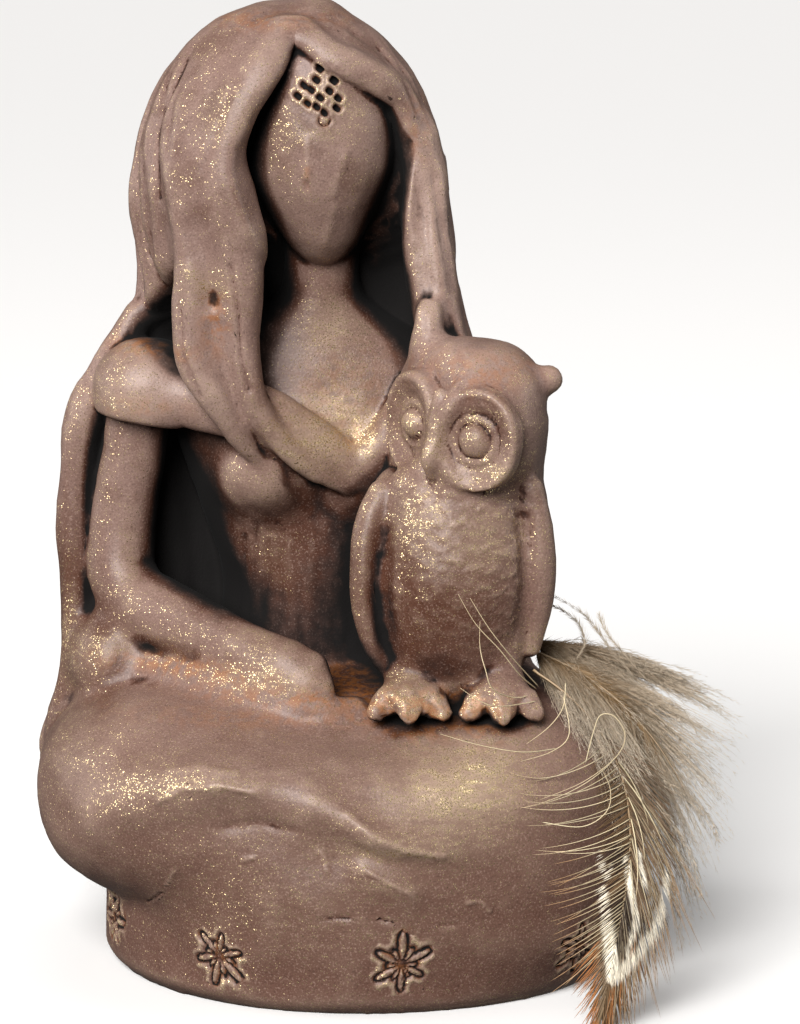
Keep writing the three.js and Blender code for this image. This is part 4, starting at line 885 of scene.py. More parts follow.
def strand_relief(p):
    """Fine lines combed down the hair, between the long locks."""
    q = in_figure(p)
    _, y, z = q
    around, drift = round_mane(q)
    lines = np.sin(68 * around + 5 * drift + 0.9 * np.sin(z * 0.11))
    hairy = smoothstep(-12, -5, y) * smoothstep(126, 118, z)
    return 0.09 * lines * hairy * (hair(q) < 0.6)


def off_line(x, z, line):
    """Distance from places on the front to a line through (x, z) points."""
    nearest = np.full(x.shape, FAR, np.float32)
    for start, end in zip(line, line[1:]):
        np.minimum(nearest, to_segment(x, z, start, end)[1], out=nearest)
    return nearest


def stroke_relief(p, n):
    """Tool marks: grooves between strands of hair, thin ridges down the face, and scratches on the skirt."""
    total = np.zeros(p.shape[1], np.float32)
    for height, width, line in STROKES:
        total += height * line_groove(off_line(p[0], p[2], line), width)
    return total * smoothstep(-0.15, -0.5, n[1])


LUMP_WAVES = 14


def lump_relief(p):
    """The unevenness that fingers and tools leave in hand-worked clay."""
    rng = np.random.default_rng(7)
    height = np.zeros(p.shape[1], np.float32)
    for size, amount in ((15, 0.16), (6, 0.07), (2.6, 0.03)):
        for _ in range(LUMP_WAVES):
            way = rng.normal(size=3)
            way *= 2 * math.pi / size / np.linalg.norm(way)
            height += amount / math.sqrt(LUMP_WAVES) * np.sin(way @ p + rng.uniform(0, 2 * math.pi))
    return height * smoothstep(0.5, 3, p[2])


# Longest edges in millimetres: in plain clay, and where there is fine relief
PLAIN_EDGE = 2.2
BREAST_EDGE = 0.8
DISC_EDGE = 0.62
ROSETTE_EDGE = 0.44
LATTICE_EDGE = 0.34


def wanted_edge(settings):
    """Longest edge for each place: short in the stamps and on the owl, longer elsewhere."""
    def at(p):
        wanted = np.full(p.shape[1], PLAIN_EDGE, np.float32)
        x, y, z = in_owl(p)
        on_breast = (np.hypot(x, y) < 19) & (z > 4) & (z < 34) & (y < 0.5) & (np.abs(x) < 11.5)
        wanted[on_breast] = BREAST_EDGE
        for x, y, z in disc_frames(turned(in_owl(p), HEAD_AT, OWL_YAW, OWL_TILT)):
            wanted[(y < -6) & (np.abs(z) < 8.4) & (x > -0.5) & (x < 13)] = DISC_EDGE
        u, v, _ = to_nearest_stamp(p, settings)
        wanted[(np.hypot(u, v) < 1.1) & (np.hypot(p[0], p[1]) > 30) & (p[2] < 14)] = ROSETTE_EDGE
        u, v = p[0] - FOREHEAD[0], p[2] - FOREHEAD[1]
        wanted[(np.hypot(u, v) < 5.2) & (p[1] < -6)] = LATTICE_EDGE
        for _, width, line in STROKES:
            near = (off_line(p[0], p[2], line) < 0.4 + width) & (p[1] < 0)
            wanted[near] = np.minimum(wanted[near], 0.5 + 0.6 * width)
        return wanted

    return at


# What the finish and its painted shade depend on, worked out from the shape

SHADE_STEP = 2.0
SHADE_MARGIN = 14  # how far the coarse grid goes past the casting
SHADE_BATCH = 20000  # points worked out at once
CASTING_MARGIN = 1.5  # how far the casting's own grid goes past its box


class Surroundings:
    """Distances on a coarse grid, read between its points."""

    def __init__(self, low, high):
        self.low = low - SHADE_MARGIN
        count = np.ceil((high + SHADE_MARGIN - self.low) / SHADE_STEP).astype(int) + 1
        points = np.indices(count).reshape(3, -1) * SHADE_STEP + self.low[:, None]
        batches = [points[:, n:n + SHADE_BATCH] for n in range(0, points.shape[1], SHADE_BATCH)]
        self.values = np.concatenate([casting(batch.astype(np.float32)) for batch in batches]).reshape(count)

    def __call__(self, p):
        place = (p - self.low[:, None]) / SHADE_STEP
        limit = np.array(self.values.shape)[:, None] - 1.001
        place = np.clip(place, 0, limit)
        cell = place.astype(int)
        t = place - cell
        total = 0
        for corner in np.ndindex(2, 2, 2):
            weight = np.prod([t[n] if corner[n] else 1 - t[n] for n in range(3)], axis=0)
            total = total + weight * self.values[tuple(cell[n] + corner[n] for n in range(3))]
        return total


@functools.cache
def surroundings():
    return Surroundings(CASTING_LOW - CASTING_MARGIN, CASTING_HIGH + CASTING_MARGIN)


WAYS_OUT = 22  # directions in which each place looks for other clay
LOOKED_AT = (2, 4, 7, 11, 16, 22)  # distances along each of them


def closeness(p, n):
    """How hemmed in each place is by other clay: 0 in the open, 1 deep in a hollow."""
    around = surroundings()
    total = 0
    for k in range(WAYS_OUT):
        up = 1 - (2 * k + 1) / WAYS_OUT
        turn = k * math.pi * (3 - math.sqrt(5))
        level = math.sqrt(1 - up * up)
        way = 1.1 * n + np.array([[level * math.cos(turn)], [level * math.sin(turn)], [up]])
        way /= np.linalg.norm(way, axis=0)
        blocked = 0
        for distance in LOOKED_AT:
            gap = around(p + 0.5 * n + way * distance)
            blocked = np.maximum(blocked, np.clip(0.5 - gap / (0.35 * distance), 0, 1))
        total = total + blocked
    return np.clip(total / WAYS_OUT, 0, 1)


def hollowness(p, n, ends, passes=6):
    """How far each place lies below those around it, in shares of their spacing: above 0 in a crease."""
    count = np.bincount(ends.ravel(), minlength=p.shape[1])
    spacing = np.zeros(p.shape[1])
    lengths = np.linalg.norm(p[:, ends[:, 0]] - p[:, ends[:, 1]], axis=0)
    for side in (0, 1):
        spacing += np.bincount(ends[:, side], lengths, p.shape[1])
    evened = p.astype(float)
    for _ in range(passes):
        total = np.array([np.bincount(ends[:, 0], axis[ends[:, 1]], p.shape[1])
                          + np.bincount(ends[:, 1], axis[ends[:, 0]], p.shape[1]) for axis in evened])
        evened = total / np.maximum(count, 1)
    return ((evened - p) * n).sum(0) / np.maximum(spacing / np.maximum(count, 1), 1e-6)


# Where gold mica shows most, and where highlights are painted into the colour with it, on the front: x, z,
# half width, half height, strength
GOLD_AND_HIGHLIGHT_PATCHES = (
    (-12.4, 124.4, 3.2, 2.6, 0.6), (-5, 122.6, 4.5, 1.6, 0.5), (-1.3, 126, 3, 2.5, 0.6),
    (-5, 79, 7, 5, 0.6), (-19.6, 125, 3, 3.5, 0.45), (-4.3, 94, 4.5, 4.5, 1), (3.6, 95.4, 3.5, 2.5, 0.7),
    (-22, 101, 4.5, 2.5, 0.9), (-8.6, 77, 4.5, 5, 1), (-2.1, 79.5, 4.5, 4.5, 0.7),
    (0.2, 77.5, 2.5, 2.5, 1), (-33, 83, 6, 2, 0.55), (-33.7, 59.3, 1.6, 6, 0.7), (-30.7, 47.7, 6, 2, 1),
    (-13.4, 45, 8, 1.6, 1), (15, 33, 8, 5.5, 2.4), (9, 41, 4, 2, 0.9), (18, 41, 4, 2, 0.8),
    (-3, 84, 6, 7, 0.5), (5.8, 24.3, 9, 1.6, 0.9), (-22.2, 33, 8, 2, 0.5), (4.4, 19.3, 5, 1, 0.5),
    (18.4, 76.4, 5, 3, 1), (11, 80, 2.6, 4, 0.9), (17, 84, 3, 1.2, 0.9), (7.2, 82, 1.8, 4, 0.8),
    (17.7, 66.3, 7, 5, 0.85), (8.6, 69.5, 4, 5, 0.75), (7.2, 45, 6, 2.2, 1), (16, 44.5, 4, 2.5, 0.8),
    (24.4, 50.6, 2.5, 2.5, 1), (-14.6, 54, 4, 9, 0.5), (-39, 74.6, 2, 8, 0.4), (-43, 46, 1.5, 9, 0.6),
    (-30.4, 92, 4, 2, 0.7), (8.7, 101, 2, 6, 0.3), (-8, 15, 22, 7, 0.22), (-30, 32, 9, 5, 0.3),
    (2, 30, 30, 9, 0.3))
# Where an orange wash shows, in the same terms
RUST_PATCHES = (
    (-25, 45.4, 12, 1.3, 1), (-10, 42.6, 12, 1.2, 0.8), (4, 43, 9, 1.6, 1), (16, 42.5, 5, 2, 1),
    (17, 90, 8, 2.6, 0.6), (-20.5, 96, 1.8, 4, 1), (-30, 91, 6, 1.2, 1), (-15, 138, 8, 1.2, 0.6),
    (2, 138.4, 9, 1, 0.35), (8.4, 123, 1.6, 4, 0.6), (-0.5, 78, 2, 1.6, 0.8), (-7.4, 117, 0.5, 2, 0.6),
    (-32, 82.6, 6, 1.2, 0.5), (-6, 40, 26, 1, 0.4), (-3, 84, 7, 6, 0.35), (8, 40, 5, 2.4, 0.9),
    (18, 40, 4, 2.4, 0.8))
# Where shade is painted in as darker brown, on clay that is in places browner too, and where the clay is
# paler
SHADE_AND_UMBER_PATCHES = (
    (13, 56, 16, 19, 0.95), (-44, 52, 6, 24, 0.6), (-9.5, 58, 12, 14, 1), (0, 2, 60, 10, 0.5),
    (-3, 86, 10, 11, 0.85), (-6, 100, 12, 5, 0.4), (17.6, 83.5, 5.4, 3.6, 0.8), (3.4, 55, 3.6, 11, 0.9),
    (-42, 38, 7, 24, 0.8), (-24, 62, 5, 10, 1), (-37, 46, 6, 8, 0.6))
# Painted light on lit rims and edges, with paler dust in places
LIGHT_AND_DUST_PATCHES = (
    (-29, 84, 8, 5, 0.6), (10, 108, 3.5, 16, 0.5), (17, 92, 10, 3, 0.3), (-40, 33, 5, 10, 0.4),
    (-20, 90, 4, 8, 0.35), (11, 112, 4, 14, 0.5))
# Where painted shade and the dark wash lie thicker, or thinner where the strength is below 0
SHADE_AND_WASH_PATCHES = (
    (-9, 54, 8, 12, -0.2), (-24.5, 63, 4.2, 9, 2), (-20, 54, 3, 6, 0.8), (3.5, 55, 3, 9, 1),
    (17.6, 83.5, 5.4, 3.6, 0.5), (12, 48, 5, 3.2, 0.9), (-6, 98.6, 7, 2, 0.4), (2, 43, 12, 4, -0.8),
    (-9, 113, 9, 13, -1.8), (-3, 89, 7, 6, -1.8), (-3, 80, 10, 7, -1.8), (-29, 84, 8, 5, -0.6),
    (-22.6, 105, 4.4, 10, -1.1), (-36, 45, 6, 5, -0.5), (11, 104, 3, 14, -0.5), (6, 100, 2.4, 4, 1.6))


PATCH_FADE = 6


def on_patches(p, patches, depth_limit=12):
    """How strong the patches are at each place, fading out before the depth limit."""
    total = np.zeros(p.shape[1], np.float32)
    for x, z, wide, high, strength in patches:
        off = ((p[0] - x) / wide) ** 2 + ((p[2] - z) / high) ** 2
        total += strength * np.exp(-off)
    return total * smoothstep(depth_limit, depth_limit - PATCH_FADE, p[1])


def set_attribute(mesh, name, values):
    layer = mesh.attributes.new(name, "FLOAT", "POINT")
    layer.data.foreach_set("value", np.ascontiguousarray(values, np.float32))


# Nodes

def add(nodes, kind, settings=None, **inputs):
    """Adds a node, sets its own settings, and gives its inputs values or links."""
    node = nodes.nodes.new(kind)
    for name, value in (settings or {}).items():
        setattr(node, name, value)
    for name, value in inputs.items():
        socket = node.inputs[int(name[1:])] if name[0] == "i" and name[1:].isdigit() else node.inputs[name]
        if isinstance(value, bpy.types.NodeSocket):
            nodes.links.new(value, socket)
        else:
            socket.default_value = value
    return node


def new_material(name):
    material = bpy.data.materials.new(name)
    material.use_nodes = True
    tree = material.node_tree
    tree.nodes.clear()
    return material, tree


def rgba(colour):
    return (*colour, 1)


def attribute(tree, name):
    return add(tree, "ShaderNodeAttribute", {"attribute_name": name}).outputs["Fac"]


FLAKE = 0.12  # size of a flake of mica


def mica_rubbed_earthenware(settings):
    """Fired red-brown earthenware, pinched and carved by hand, given a dark wash and rubbed with gold mica.

    The clay stays matt and dusty, and the wash goes near black in the hollows, where painted shade is added
    to it. Shade, lit edges and highlights are also painted into the colour in patches, and loose flakes of
    mica on top flash one by one where a light meets them.
    """
    material, tree = new_material("mica_rubbed_earthenware")
    place = add(tree, "ShaderNodeTexCoord").outputs["Object"]
    wash_and_painted_shade, mica, rust, painted_shade_and_umber, painted_light_and_dust = (
        attribute(tree, name) for name in ("wash_and_painted_shade", "mica", "rust", "painted_shade_and_umber", "painted_light_and_dust"))

    def noise(size_mm, detail=3, roughness=0.6):
        return add(tree, "ShaderNodeTexNoise", None, Vector=place, Scale=1 / (size_mm * MM), Detail=detail,
                   Roughness=roughness).outputs["Fac"]

    def ramp(value, low, high, first=0, last=1):
        return add(tree, "ShaderNodeMapRange", {"interpolation_type": "SMOOTHSTEP"},
                   i0=value, i1=low, i2=high, i3=first, i4=last).outputs[0]

    def maths(operation, a, b=0.0, c=0.0):
        return add(tree, "ShaderNodeMath", {"operation": operation}, i0=a, i1=b, i2=c).outputs[0]

    def vectors(operation, a, **inputs):
        return add(tree, "ShaderNodeVectorMath", {"operation": operation}, i0=a, **inputs).outputs[0]

    def mix(factor, a, b):
        return add(tree, "ShaderNodeMix", {"data_type": "RGBA"}, i0=factor, i6=a, i7=b).outputs[2]

    height = add(tree, "ShaderNodeSeparateXYZ", None, Vector=place).outputs["Z"]
    cloudy = ramp(noise(9, 4), 0.38, 0.66, 0, 0.6)  # patches of wash about a fingertip wide
    # Browner low down; shade painted in as brown in the hollows and in the dark patches, where the clay is
    # also browner in places
    shade_and_brown = maths("MAXIMUM", ramp(height, 0.062, 0.012, 0.12, 0.78), ramp(wash_and_painted_shade, 0.08, 0.4))
    shade_and_brown = maths("MAXIMUM", shade_and_brown, painted_shade_and_umber)
    colour = mix(maths("MAXIMUM", cloudy, shade_and_brown), rgba(settings.clay_light), rgba(settings.clay_brown))
    # Painted light: lit rims and edges made paler, together with paler dust
    colour = mix(maths("MULTIPLY", painted_light_and_dust, 0.6), colour, rgba(settings.clay_dust))
    grain = noise(0.28, 1)  # grog and dust, drawn near twice its real size so that it shows
    colour = mix(ramp(grain, 0.44, 0.3, 0, 0.3), colour, rgba(settings.clay_wash_and_shade))
    colour = mix(ramp(grain, 0.56, 0.72, 0, 0.35), colour, rgba(settings.clay_dust))
    colour = mix(ramp(noise(0.9, 2), 0.62, 0.8, 0, 0.25), colour, rgba(settings.clay_wash_and_shade))
    rust_here = maths("MULTIPLY", rust, ramp(noise(1.6, 3), 0.4, 0.6))
    colour = mix(maths("MULTIPLY", rust_here, 0.6), colour, rgba(settings.rust_wash))
    # Painted shade: the dark wash is deepened to near black where the clay is hemmed in or hollow
    wash_and_shade_amount = ramp(maths("ADD", wash_and_painted_shade, maths("MULTIPLY_ADD", noise(2.2, 3), 0.24, -0.12)), 0.22, 0.62)
    colour = mix(wash_and_shade_amount, colour, rgba(settings.clay_wash_and_shade))

    # Flakes lie all over, most where a finger rubbed them in, and each is tipped its own way
    flakes = add(tree, "ShaderNodeTexVoronoi", None, Vector=place, Scale=1 / (FLAKE * MM))
    chance = add(tree, "ShaderNodeSeparateColor", None, Color=flakes.outputs["Color"])
    clear = ramp(wash_and_painted_shade, 0.42, 0.12)
    level = vectors("MULTIPLY", place, i1=(1, 1, 2.6))
    strokes = add(tree, "ShaderNodeTexNoise", None, Vector=level, Scale=1 / (2.4 * MM), Detail=4)
    strokes = strokes.outputs["Fac"]
    cover = maths("MULTIPLY", maths("MULTIPLY", mica, ramp(strokes, 0.36, 0.66, 0.2, 1.7)), clear)
    flake = ramp(maths("ADD", chance.outputs[0], cover), 1.0, 1.01)
    # Mica too fine to see singly, which warms the clay, and paints a highlight into the colour in the gold
    # patches
    dust = maths("MULTIPLY", maths("MULTIPLY", mica, clear), ramp(strokes, 0.3, 0.7, 0.9, 1.8))
    colour = mix(maths("MULTIPLY", dust, 0.6), colour, rgba(settings.mica_dust_and_highlight))
    spread = vectors("SUBTRACT", flakes.outputs["Color"], i1=(0.5, 0.5, 0.5))
    spread = vectors("SCALE", spread, Scale=0.9)

    pitting = maths("ADD", maths("MULTIPLY", noise(0.4, 2), 0.4), maths("MULTIPLY", noise(2.4, 3), 0.6))
    bumped = add(tree, "ShaderNodeBump", None, Height=pitting, Strength=0.25, Distance=0.45 * MM).outputs[0]
    tipped = vectors("MULTIPLY_ADD", spread, i1=(1, 1, 1), i2=bumped)
    tipped = add(tree, "ShaderNodeMix", {"data_type": "VECTOR"}, i0=flake, i4=bumped, i5=tipped).outputs[1]
    tipped = vectors("NORMALIZE", tipped)

    surface = add(tree, "ShaderNodeBsdfPrincipled", None, IOR=1.5,
                  Metallic=maths("MAXIMUM", maths("MULTIPLY", flake, 0.9), maths("MULTIPLY", dust, 0.25)),
                  Normal=tipped, Roughness=maths("MULTIPLY_ADD", flake, 0.02, ramp(wash_and_shade_amount, 0, 1, 0.44, 0.9)))
    surface.inputs["Specular IOR Level"].default_value = 0.3
    colour = mix(maths("MULTIPLY", flake, 0.75), colour, rgba(settings.mica_gold))
    tree.links.new(colour, surface.inputs["Base Color"])
    add(tree, "ShaderNodeOutputMaterial", None, Surface=surface.outputs[0])
    return material


def finish_piece(obj, slot_name, *nodes):
    """Puts a finished piece on its body, in place of its solids."""
    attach(obj, ROOT_BODY)
    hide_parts(*nodes)


def link(obj):
    bpy.context.scene.collection.objects.link(obj)
    return obj


def smooth(mesh):
    mesh.polygons.foreach_set("use_smooth", np.ones(len(mesh.polygons), bool))


BELOW_FLOOR = 1.5  # grid steps that are sampled under the floor
UNDERSIDE = 0.4  # clay below this height belongs to the flat underside
THROUGH = 30  # depth limit of the patches that go on into the hollows behind


def edge_ends(mesh):
    ends = np.empty(len(mesh.edges) * 2, np.int32)
    mesh.edges.foreach_get("vertices", ends)
    return ends.reshape(-1, 2)


class FIGURINE_OT_clay_casting(bpy.types.Operator):
    """Builds the woman, the owl and the base as one casting of clay"""
    bl_idname = "figurine.clay_casting"
    bl_label = "Clay Casting"

    def execute(self, context):
        settings = context.scene.figurine_clay
        step = settings.sample_step * 1
        low, high = CASTING_LOW - CASTING_MARGIN, CASTING_HIGH + CASTING_MARGIN
        low[2] = -BELOW_FLOOR * step
        values = sampled(casting, low, high, step)
        obj = link(bpy.data.objects.new("clay_casting", mesh_of(values, low, step)))
        thinned(obj, settings.facets)
        refined(obj, wanted_edge(settings))
        p, n = coordinates(obj.data), normals(obj.data)
        stamped, pitted, drawn = stamp_relief(p, settings), lattice_relief(p), stroke_relief(p, n)
        pressed = stamped + pitted
        relief = (pressed + drawn + scallop_relief(p, settings) + disc_relief(p) + bodice_relief(p)
                  + strand_relief(p) + lump_relief(p) + foot_relief(p))
        hemmed_in = closeness(p, n)
        moved = p + n * relief
        moved[2] = np.where(p[2] < UNDERSIDE, 0, moved[2])
        obj.data.vertices.foreach_set("co", np.ascontiguousarray(moved.T * MM, np.float32).ravel())
        obj.data.update()
        hollow = hollowness(moved, normals(obj.data), edge_ends(obj.data))
        # Painted shade: how hemmed in and how hollow each place is, the shade patches and the pressed lines
        # set how dark the colour is painted
        wash_and_shade_amount = hemmed_in + 0.9 * np.clip(hollow - 0.06, 0, 0.5)
        wash_and_shade_amount = wash_and_shade_amount + 0.3 * on_patches(p, SHADE_AND_WASH_PATCHES, THROUGH)
        wash_and_shade_amount = wash_and_shade_amount + np.clip(-0.7 * stamped - 1.2 * pitted - 0.35 * drawn, 0, 0.5)
        set_attribute(obj.data, "wash_and_painted_shade", np.clip(wash_and_shade_amount, 0, 1))
        rubbed = np.clip(-hollow - 0.05, 0, 0.4)  # the rims and ridges that a finger rubs first
        # The gold patches also mark where highlights are painted in
        set_attribute(obj.data, "mica", 0.02 + 0.2 * rubbed + 0.17 * on_patches(p, GOLD_AND_HIGHLIGHT_PATCHES)
                      + 0.25 * np.clip(pressed / 0.12, 0, 1))
        set_attribute(obj.data, "rust", np.clip(on_patches(p, RUST_PATCHES) - 2 * pressed, 0, 1))
        # Painted shade, laid on as darker brown, with browner clay in places
        set_attribute(obj.data, "painted_shade_and_umber", np.clip(on_patches(p, SHADE_AND_UMBER_PATCHES, THROUGH), 0, 1))
        # Painted light on lit rims and edges, and paler dust
        set_attribute(obj.data, "painted_light_and_dust", np.clip(on_patches(p, LIGHT_AND_DUST_PATCHES) + 0.8 * rubbed, 0, 1))
        smooth(obj.data)
        obj.data.materials.append(mica_rubbed_earthenware(settings))
        obj.data.update()
        finish_piece(obj, "clay", "figurine")
        return {"FINISHED"}


# The feathers

FEATHERS = {
    "patterned_feather": {
        "root": (11, -6, 4), "heading": -0.2, "turn": -2.6, "pitch": 0.5, "length": 57, "tip_height": 1.5,
        "facing": (0.3, -1, 0.35)},
    "downy_feather": {
        "root": (12, 3, 4.5), "heading": -0.5, "turn": -0.2, "pitch": 0.2, "length": 41,
        "tip_height": 0.16 * (CASTING_HIGH[2] - BASE_HEIGHT), "facing": (0.2, -1, 0.2)},
    "upper_feather": {
        "root": (12, 8.5, 5), "heading": -0.1, "turn": -0.3, "pitch": 0.25, "length": 33,
        "tip_height": 0.3 * (CASTING_HIGH[2] - BASE_HEIGHT), "facing": (0, -1, 0.4)},
}
QUILL_STATIONS = 16
BEND_TRIES = 30
LOWEST_TIP = 0.5  # nothing of a feather comes nearer to the floor than this
FOREMOST = -46.6  # and no barb stands further forward than this
# How far each stays from the clay
QUILL_CLEARANCE = 1.3
BARB_CLEARANCE = 0.45
DOWN_CLEARANCE = 0.5


def unit(v):
    return v / np.maximum(np.linalg.norm(v, axis=-1, keepdims=True), 1e-9)


def quill(root, heading, turn, pitch, length, tip_height):
    """Points along a shaft that leaves its root at a pitch and bends until its tip is at its height."""
    def walk(bend):
        along = (np.arange(QUILL_STATIONS) + 0.5) / QUILL_STATIONS
        yaw, dip = heading + turn * along, pitch + bend * along
        steps = np.array([np.cos(dip) * np.cos(yaw), np.cos(dip) * np.sin(yaw), -np.sin(dip)]).T
        walked = np.vstack([[0, 0, 0], np.cumsum(steps, 0)])
        return OWL_PLACE + np.array(root) * OWL_SCALE + walked * (length / QUILL_STATIONS)

    least, most = -1.2, math.pi / 2 - pitch
    for _ in range(BEND_TRIES):
        bend = (least + most) / 2
        if walk(bend)[-1][2] > tip_height:
            least = bend
        else:
            most = bend
    return walk(most)


class Shaft:
    """A quill, with its own directions at each share of its length: along, to the right and to the front."""

    def __init__(self, root, heading, turn, pitch, length, tip_height, facing):
        points = curve_through(quill(root, heading, turn, pitch, length, tip_height), 4)
        points = out_of_clay(points, QUILL_CLEARANCE)
        self.shares = np.linspace(0, 1, len(points))
        self.points = points
        self.along = unit(np.gradient(points, axis=0))
        self.right = unit(np.cross(unit(np.array(facing, float)), self.along))
        self.front = np.cross(self.along, self.right)

    def at(self, shares):
        def read(table):
            return np.array([np.interp(shares, self.shares, table[:, k]) for k in range(3)]).T
        return read(self.points), unit(read(self.along)), unit(read(self.right)), unit(read(self.front))


SLOPE_STEP = 0.8  # how far to either side the way out of the clay is looked for
PUSHES = 6


def out_of_clay(points, distance):
    """Points moved out of the clay until they are as far from it as wanted, and above the floor."""
    flat = points.reshape(-1, 3).T.copy()
    around = surroundings()
    for _ in range(PUSHES):
        gap = around(flat) - distance
        inside = gap < 0
        if not inside.any():
            break
        here = flat[:, inside]
        steps = np.eye(3)[:, :, None] * SLOPE_STEP
        slope = np.array([around(here + step) - around(here - step) for step in steps])
        flat[:, inside] -= slope / np.maximum(np.linalg.norm(slope, axis=0), 1e-6) * gap[inside]
    flat[2] = np.maximum(flat[2], LOWEST_TIP)
    return flat.T.reshape(points.shape)


class Threads:
    """Closed tapering threads, gathered into one mesh."""

    def __init__(self):
        self.vertices, self.faces, self.values = [], [], {}
        self.count = 0

    def add(self, paths, width, thickness, facing, **values):
        """Adds threads along paths (threads, stations, 3). Widths and values are per thread and station."""
        threads, stations = paths.shape[:2]
        tangent = unit(np.gradient(paths, axis=1))
        facing = np.broadcast_to(facing, paths.shape)
        side = unit(np.cross(facing, tangent))
        up = np.cross(tangent, side)
        wide = np.broadcast_to(width[..., None] / 2, (threads, stations, 1))
        thick = wide * thickness
        corners = [paths + side * wide * math.cos(a) + up * thick * math.sin(a)
                   for a in (math.pi / 2, math.pi * 7 / 6, math.pi * 11 / 6)]
        body = np.stack([c[:, :-1] for c in corners], axis=2).reshape(threads, -1, 3)
        vertices = np.concatenate([body, paths[:, -1:]], axis=1)
        per_thread = vertices.shape[1]
        last = 3 * (stations - 2)
        pattern = [(0, 2, 1)]
        for row in range(stations - 2):
            for k in range(3):
                a, b = 3 * row + k, 3 * row + (k + 1) % 3
                pattern.append((a, b, b + 3, a + 3))
        pattern += [(last + k, last + (k + 1) % 3, per_thread - 1) for k in range(3)]
        starts = self.count + np.arange(threads) * per_thread
        for size in (3, 4):
            rows = np.array([f for f in pattern if len(f) == size])
            if len(rows):
                self.faces.append((starts[:, None, None] + rows[None]).reshape(-1, size))
        self.vertices.append(vertices.reshape(-1, 3))
        for name, value in values.items():
            value = np.broadcast_to(value, (threads, stations))
            spread = np.concatenate([np.repeat(value[:, :-1], 3, axis=1), value[:, -1:]], axis=1)
            self.values.setdefault(name, []).append(spread.ravel())
        self.count += threads * per_thread

    def build(self, name):
        mesh = bpy.data.meshes.new(name)
        vertices = np.concatenate(self.vertices)
        corners = np.concatenate([f.ravel() for f in self.faces])
        sizes = np.concatenate([np.full(len(f), f.shape[1]) for f in self.faces])
        mesh.vertices.add(len(vertices))
        mesh.vertices.foreach_set("co", (vertices * MM).ravel())
        mesh.loops.add(len(corners))
        mesh.loops.foreach_set("vertex_index", corners)
        mesh.polygons.add(len(sizes))
        mesh.polygons.foreach_set("loop_start", np.concatenate([[0], np.cumsum(sizes)[:-1]]))
        mesh.update(calc_edges=True)
        mesh.validate()
        smooth(mesh)
        for key, value in self.values.items():
            set_attribute(mesh, key, np.concatenate(value))
        return link(bpy.data.objects.new(name, mesh))


def by_share(stations, shares):
    """Values read from (share, value) pairs."""
    places, values = zip(*stations)
    return np.interp(shares, places, values)


def barb_paths(shaft, shares, side, angle, curl, length, lift, count=14):
    """Barbs that leave the shaft at an angle, in degrees from its direction, and curl away as they go."""
    place, along, right, front = shaft.at(shares)
    t = np.linspace(0, 1, count)
    turn = np.radians(angle[:, None] + curl[:, None] * t)
    step = (length / (count - 1))[:, None]
    ahead = np.cumsum(np.cos(turn) * step, axis=1) - np.cos(turn[:, :1]) * step
    across = np.cumsum(np.sin(turn) * step, axis=1) - np.sin(turn[:, :1]) * step
    paths = (place[:, None] + along[:, None] * ahead[..., None] + side * right[:, None] * across[..., None]
             + front[:, None] * (lift[:, None] * np.ones(count) - 0.012 * across ** 2)[..., None])
    return paths, front[:, None], t


# The patterned feather's bars, as places on the front (x, z, half width) of the whole part
CREAM_BARS = (
    ((32.4, 25.8, 0.35), (33.8, 22.9, 0.5), (34.7, 21, 0.4), (35.4, 22.6, 0.2)),
    ((34, 19.4, 0.6), (34.9, 13.2, 0.8), (35.6, 7.4, 0.9), (37.6, 9, 0.8), (39.6, 11.2, 0.7),
     (41.6, 14, 0.6), (42.7, 17.4, 0.5), (43.4, 21.2, 0.3)),
    ((37.4, 23.4, 0.35), (38.1, 19, 0.45), (38.9, 14.8, 0.4), (37.3, 10.4, 0.2)),
    ((39.2, 24.2, 0.2), (40, 19.8, 0.4)))
DARK_CENTRES = ((37, 13.8, 2, 5), (39.4, 13, 1.8, 2.6), (35.9, 23.4, 1.4, 1.5))  # x, z, half sizes


def along_bars(x, z):
    """How cream each place is: 1 on a bar, 0 off it."""
    best = np.zeros_like(x)
    for bar in CREAM_BARS:
        for (*start, start_width), (*end, end_width) in zip(bar, bar[1:]):
            t, distance = to_segment(x, z, start, end)
            off = distance / (start_width + (end_width - start_width) * t)
            best = np.maximum(best, smoothstep(1.25, 0.85, off))
    return best


def on_spots(x, z, spots):
    best = np.zeros_like(x)
    for cx, cz, wide, high in spots:
        best = np.maximum(best, smoothstep(1.3, 0.8, np.hypot((x - cx) / wide, (z - cz) / high)))
    return best


def keratin(name, ground, layers, sheen_roughness):
    """Dry feather keratin: matt, a little glossy along each barb, coloured by layers of named attributes."""
    material, tree = new_material(name)
    tone = attribute(tree, "tone")
    colour = rgba(ground)
    for layer, layer_colour in layers:
        colour = add(tree, "ShaderNodeMix", {"data_type": "RGBA"}, i0=attribute(tree, layer), i6=colour,
                     i7=rgba(layer_colour)).outputs[2]
    colour = add(tree, "ShaderNodeHueSaturation", None, Value=tone, Color=colour).outputs[0]
    surface = add(tree, "ShaderNodeBsdfPrincipled", None, IOR=1.5, Roughness=sheen_roughness)
    tree.links.new(colour, surface.inputs["Base Color"])
    add(tree, "ShaderNodeOutputMaterial", None, Surface=surface.outputs[0])
    return material


